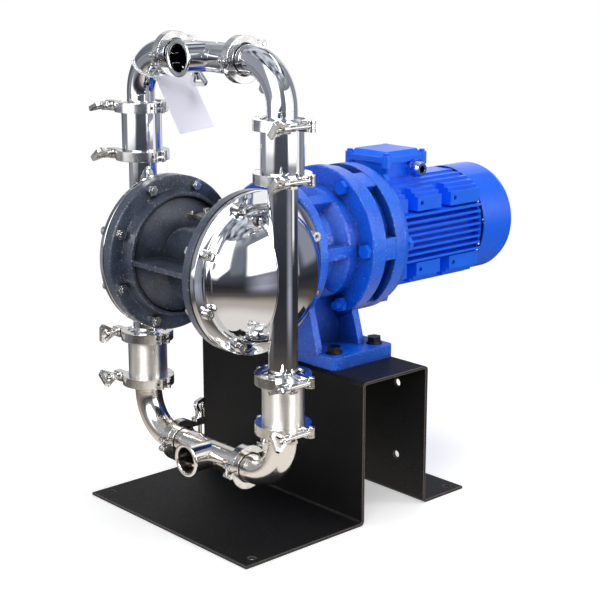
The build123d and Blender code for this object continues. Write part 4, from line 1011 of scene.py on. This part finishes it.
@dataclass
class Studio:
    """White floor and background, soft lamps, the walls that the metal mirrors, and the camera."""

    sensor_mm: float = 36.0
    focal_px: float = 1394.5
    frame_px: float = 600.0
    azimuth: float = 47.61
    elevation: float = 13.81
    eye: Point = (1878.37, -1500.19, 993.5)
    floor_size: float = 12.0
    wall_centre: Span = (0.19, 0.0)
    wall_radius: float = 2.0
    wall_height: float = 3.3
    facets: int = 96
    aim: Point = (0.0, 0.1, 0.45)
    lamps: tuple[SoftLamp, ...] = (
        SoftLamp("key_softbox", (2.2, -2.6, 2.6), (1.6, 1.6), 40.0),
        SoftLamp("fill_softbox", (-2.6, -2.0, 1.8), (1.4, 2.0), 36.0),
        SoftLamp("top_softbox", (0.2, 0.6, 3.4), (2.4, 1.6), 46.0),
        SoftLamp("rim_softbox", (2.4, 2.6, 1.6), (1.0, 2.0), 30.0),
    )
    zones: tuple[SoftZone, ...] = (
        SoftZone((-60.0, -9.0), (0.46, 3.0), 3.0, 9.0, 0.2, WHITE, 36.0),
        SoftZone((31.0, 78.0), (0.41, 1.85), 3.0, 6.0, 0.07),
        SoftZone((-50.0, -24.0), (1.1, 2.4), 16.0, 5.0, 0.14),
        SoftZone((42.0, 62.0), (0.8, 1.6), 16.0, 5.0, 0.14),
        SoftZone((77.0, 97.0), (0.12, 1.85), 1.1, 2.0, 0.05),
        SoftZone((174.0, 182.0), (0.7, 2.4), 1.3),
        SoftZone((-182.0, -174.0), (0.7, 2.4), 1.3),
        SoftZone((-108.0, -60.0), (0.55, 2.6), 0.42, 6.0, 0.2, "eef2ff", 20.0),
        SoftZone((-4.0, 24.0), (0.55, 2.4), 0.26, 4.0, 0.15, "dfe8ff"),
        SoftZone((38.0, 70.0), (-0.5, 0.34), 0.5, 16.0, 0.12, "dfe2f4"),
        SoftZone((-135.0, -75.0), (-0.5, 0.5), 0.35, 10.0, 0.12, "f2f4ff"),
        SoftZone((104.0, 140.0), (0.3, 2.2), 0.38, 6.0, 0.1, "e8ecff"),
        SoftZone((146.0, 172.0), (0.35, 2.2), 0.85, 3.0, 0.05),
        SoftZone((-172.0, -150.0), (0.35, 2.2), 0.7, 3.0, 0.05),
    )
    # Pale patches of floor to both sides, beside the lights there: turn, softness and colour
    patches: tuple[tuple[Span, float, str], ...] = (
        ((38.0, 70.0), 16.0, "b2b5c4"), ((-135.0, -75.0), 10.0, "94979e"))

    def camera(self) -> None:
        """Places the camera where the photograph was taken."""
        data = bpy.data.cameras.new("camera")
        data.sensor_width = self.sensor_mm
        data.lens = self.sensor_mm * self.focal_px / self.frame_px
        data.clip_start, data.clip_end = 0.1, 60.0
        a, e = math.radians(self.azimuth), math.radians(self.elevation)
        back = Vector((math.sin(a) * math.cos(e), -math.cos(a) * math.cos(e), math.sin(e)))
        bpy.context.scene.camera = linked("camera", data, Vector(self.eye) * MM, -back)

    def lamp(self, soft: SoftLamp) -> None:
        """Adds one soft lamp."""
        data = bpy.data.lights.new(soft.name, "AREA")
        data.shape = "RECTANGLE"
        data.size, data.size_y = soft.face
        data.energy = soft.power
        linked(soft.name, data, soft.place, Vector(self.aim) - Vector(soft.place))

    def seen(self, nodes: Nodes) -> Node:
        """Tells camera, glossy and transmission rays from the rays that light the pump.

        Args:
            nodes: The tree that takes the nodes.

        Returns:
            A value of 1 for those rays and 0 for the others.
        """
        path = nodes.add("LightPath").outputs
        first = nodes.add("Math", {"operation": "ADD"}, {
            0: path["Is Camera Ray"], 1: path["Is Glossy Ray"]})
        return nodes.add("Math", {"operation": "ADD", "use_clamp": True},
                         {0: first, 1: path["Is Transmission Ray"]})

    def world(self) -> None:
        """A plain soft world that camera, glossy and transmission rays see as white."""
        world = bpy.data.worlds.new("studio")
        world.use_nodes = True
        bpy.context.scene.world = world
        nodes = Nodes(world.node_tree)
        soft = nodes.add("Background", inputs={"Color": linear("f4f6fa"), "Strength": 0.3})
        white = nodes.add("Background", inputs={"Color": linear(WHITE), "Strength": 1.0})
        mixed = nodes.add("MixShader", inputs={0: self.seen(nodes), 1: soft, 2: white})
        nodes.add("OutputWorld", inputs={"Surface": mixed})

    def distance(self, surface: Surface) -> Socket:
        """Distance from a stage piece's own origin, in metres."""
        return surface.add("VectorMath", {"operation": "LENGTH"}, {0: surface.place}).outputs["Value"]

    def turn(self, surface: Surface) -> Node:
        """Angle about a stage piece's own axis, in degrees to the right of its front."""
        place = surface.add("SeparateXYZ", inputs={0: surface.place}).outputs
        angle = surface.add("Math", {"operation": "ARCTAN2"}, {0: place["Y"], 1: place["X"]})
        return surface.add("Math", PRODUCT, {0: angle, 1: 180.0 / math.pi})

    def floor(self) -> None:
        """A white floor that keeps the pump's shadow near it and is plain white further out."""
        mesh = bpy.data.meshes.new("floor")
        bm = bmesh.new()
        bmesh.ops.create_grid(bm, x_segments=2, y_segments=2, size=self.floor_size)
        bm.to_mesh(mesh)
        bm.free()
        surface = Surface("studio_floor")
        seen = self.seen(surface)
        surface.feed(surface.shader, {
            "Base Color": linear("f2f2f2"), "Roughness": 0.9, "Specular IOR Level": 0.1,
            "Emission Color": linear(WHITE),
            "Emission Strength": surface.add("Math", PRODUCT, {0: seen, 1: 0.42})})
        white = surface.add("Emission", inputs={"Color": linear(WHITE)})
        far = surface.add("MapRange", SMOOTH, {0: self.distance(surface), 1: 0.55, 2: 1.1})
        share = surface.add("Math", PRODUCT, {0: far, 1: seen})
        mixed = surface.add("MixShader", inputs={0: share, 1: surface.shader, 2: white})
        surface.feed(surface.output, {"Surface": mixed})
        mesh.materials.append(surface.material)
        linked("floor", mesh, (0.0, 0.15, -0.0004))

    def glow(self, name: str) -> Surface:
        """Starts a material that only glows and lights nothing."""
        surface = Surface(name, "Emission")
        surface.material.cycles.emission_sampling = "NONE"
        return surface

    def mirrored_only(self, bm: bmesh.types.BMesh, surface: Surface, height: float) -> None:
        """Adds a stage piece that only reflections show.

        Args:
            bm: Its mesh, about its own axis and with +X towards the camera.
            surface: What it is made of, under the piece's name.
            height: Its height above the floor, in metres.
        """
        mesh = bpy.data.meshes.new(surface.material.name)
        bm.to_mesh(mesh)
        bm.free()
        mesh.materials.append(surface.material)
        piece = linked(mesh.name, mesh, (*self.wall_centre, height))
        piece.rotation_euler = (0.0, 0.0, math.radians(self.azimuth - 90.0))
        for ray in ("camera", "diffuse", "shadow", "transmission"):
            setattr(piece, f"visible_{ray}", False)

    def inside(self, nodes: Nodes, *bands: tuple[Any, Span, float]) -> Node:
        """Marks where two values both lie in their spans, with soft edges.

        Args:
            nodes: The tree that takes the nodes.
            bands: Each value with its span and half the width of the span's edges.

        Returns:
            1 inside both spans and 0 outside.
        """
        shares = []
        for value, (low, high), soft in bands:
            rise = nodes.add("MapRange", SMOOTH, {0: value, 1: low - soft, 2: low + soft})
            fall = nodes.add("MapRange", SMOOTH, {0: value, 1: high - soft, 2: high + soft, 3: 1.0, 4: 0.0})
            shares.append(nodes.add("Math", PRODUCT, {0: rise, 1: fall}))
        return nodes.add("Math", PRODUCT, {0: shares[0], 1: shares[1]})

    def walls(self) -> None:
        """Dark walls and ceiling with soft bright panels, seen only in reflections."""
        surface = self.glow("studio_walls")
        degrees = self.turn(surface)
        height = surface.add("SeparateXYZ", inputs={0: surface.place}).outputs["Z"]
        # The lower end of a leaning panel stands further left than the rest
        leaning = surface.add("MapRange", SMOOTH, {0: height, 1: 0.34, 2: 0.95, 3: 1.0, 4: 0.0})
        share = surface.add("Math", {"operation": "DIVIDE"}, {0: height, 1: self.wall_height})
        base = surface.add("ValToRGB", inputs={0: share},
                           stops=((0.0, "2e3036"), (0.22, "5d626d"), (1.0, "a2a4aa")))
        # Lamps and drapes overhead, out of focus: broad light and dark drifts in a high reflection
        drift = surface.add("TexNoise", inputs={"Scale": 1.1, "Detail": 1.0, "Vector": surface.place})
        clouds = surface.add("ValToRGB", inputs={0: drift}, stops=((0.36, "3f4855"), (0.62, "e6edf5")))
        high = surface.add("MapRange", inputs={0: height, 1: 2.0, 2: 3.2})
        colour = surface.add("Mix", COLOURS, {0: high, 6: base, 7: clouds}).outputs[2]
        for zone in self.zones:
            across = degrees
            if zone.lean:
                across = surface.add("Math", SCALED_SUM, {0: leaning, 1: zone.lean, 2: degrees})
            mask = self.inside(surface, (across, zone.turn, zone.soft_turn), (height, zone.rise, zone.soft_rise))
            tone = tuple(c * zone.strength for c in linear(zone.colour)[:3]) + (1.0,)
            colour = surface.add("Mix", COLOURS | {"blend_type": "LIGHTEN"},
                                 {0: mask, 6: colour, 7: tone}).outputs[2]
        surface.feed(surface.shader, {"Color": colour})
        bm = bmesh.new()
        foot, top = ([bm.verts.new(point) for point in ring(self.wall_radius, self.facets, z)]
                     for z in (-0.01, self.wall_height))
        for i in range(self.facets):
            j = (i + 1) % self.facets
            bm.faces.new((foot[i], foot[j], top[j], top[i]))
        bm.faces.new(top)
        self.mirrored_only(bm, surface, 0.0)

    def table(self) -> None:
        """The white table top as polished metal shows it: warm grey near the pump, dark further out."""
        surface = self.glow("studio_table")
        out = self.distance(surface)
        share = surface.add("Math", {"operation": "DIVIDE"}, {0: out, 1: self.wall_radius})
        tones = surface.add("ValToRGB", inputs={0: share}, stops=(
            (0.18, "f4eee8"), (0.34, "c3bab0"), (0.54, "5c5753"), (0.7, "3c3a3c"), (1.0, "2e3036")))
        tones.color_ramp.interpolation = "EASE"
        colour = tones.outputs[0]
        for span, soft, code in self.patches:
            mask = self.inside(surface, (self.turn(surface), span, soft), (out, (1.4, 9.0), 0.4))
            colour = surface.add("Mix", COLOURS, {0: mask, 6: colour, 7: linear(code)}).outputs[2]
        surface.feed(surface.shader, {"Color": colour})
        bm = bmesh.new()
        bmesh.ops.create_circle(bm, cap_ends=True, segments=self.facets, radius=self.wall_radius * 1.01)
        self.mirrored_only(bm, surface, -0.0002)

    def build(self) -> None:
        """Builds camera, world, floor, lamps and walls."""
        self.camera()
        self.world()
        self.floor()
        for soft in self.lamps:
            self.lamp(soft)
        self.walls()
        self.table()


def main() -> None:
    """Builds the whole scene."""
    logging.basicConfig(level=logging.INFO, format="%(name)s %(message)s")
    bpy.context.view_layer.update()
    Studio().build()
    finishes = Finishes()
    CarriedPieces().build(finishes)
    PipeLoop(finishes).build()
    for side in Side:
        ChamberCover(side, finishes).build()
    bpy.context.scene.view_settings.view_transform = "Standard"


if __name__ == "__main__":
    main()
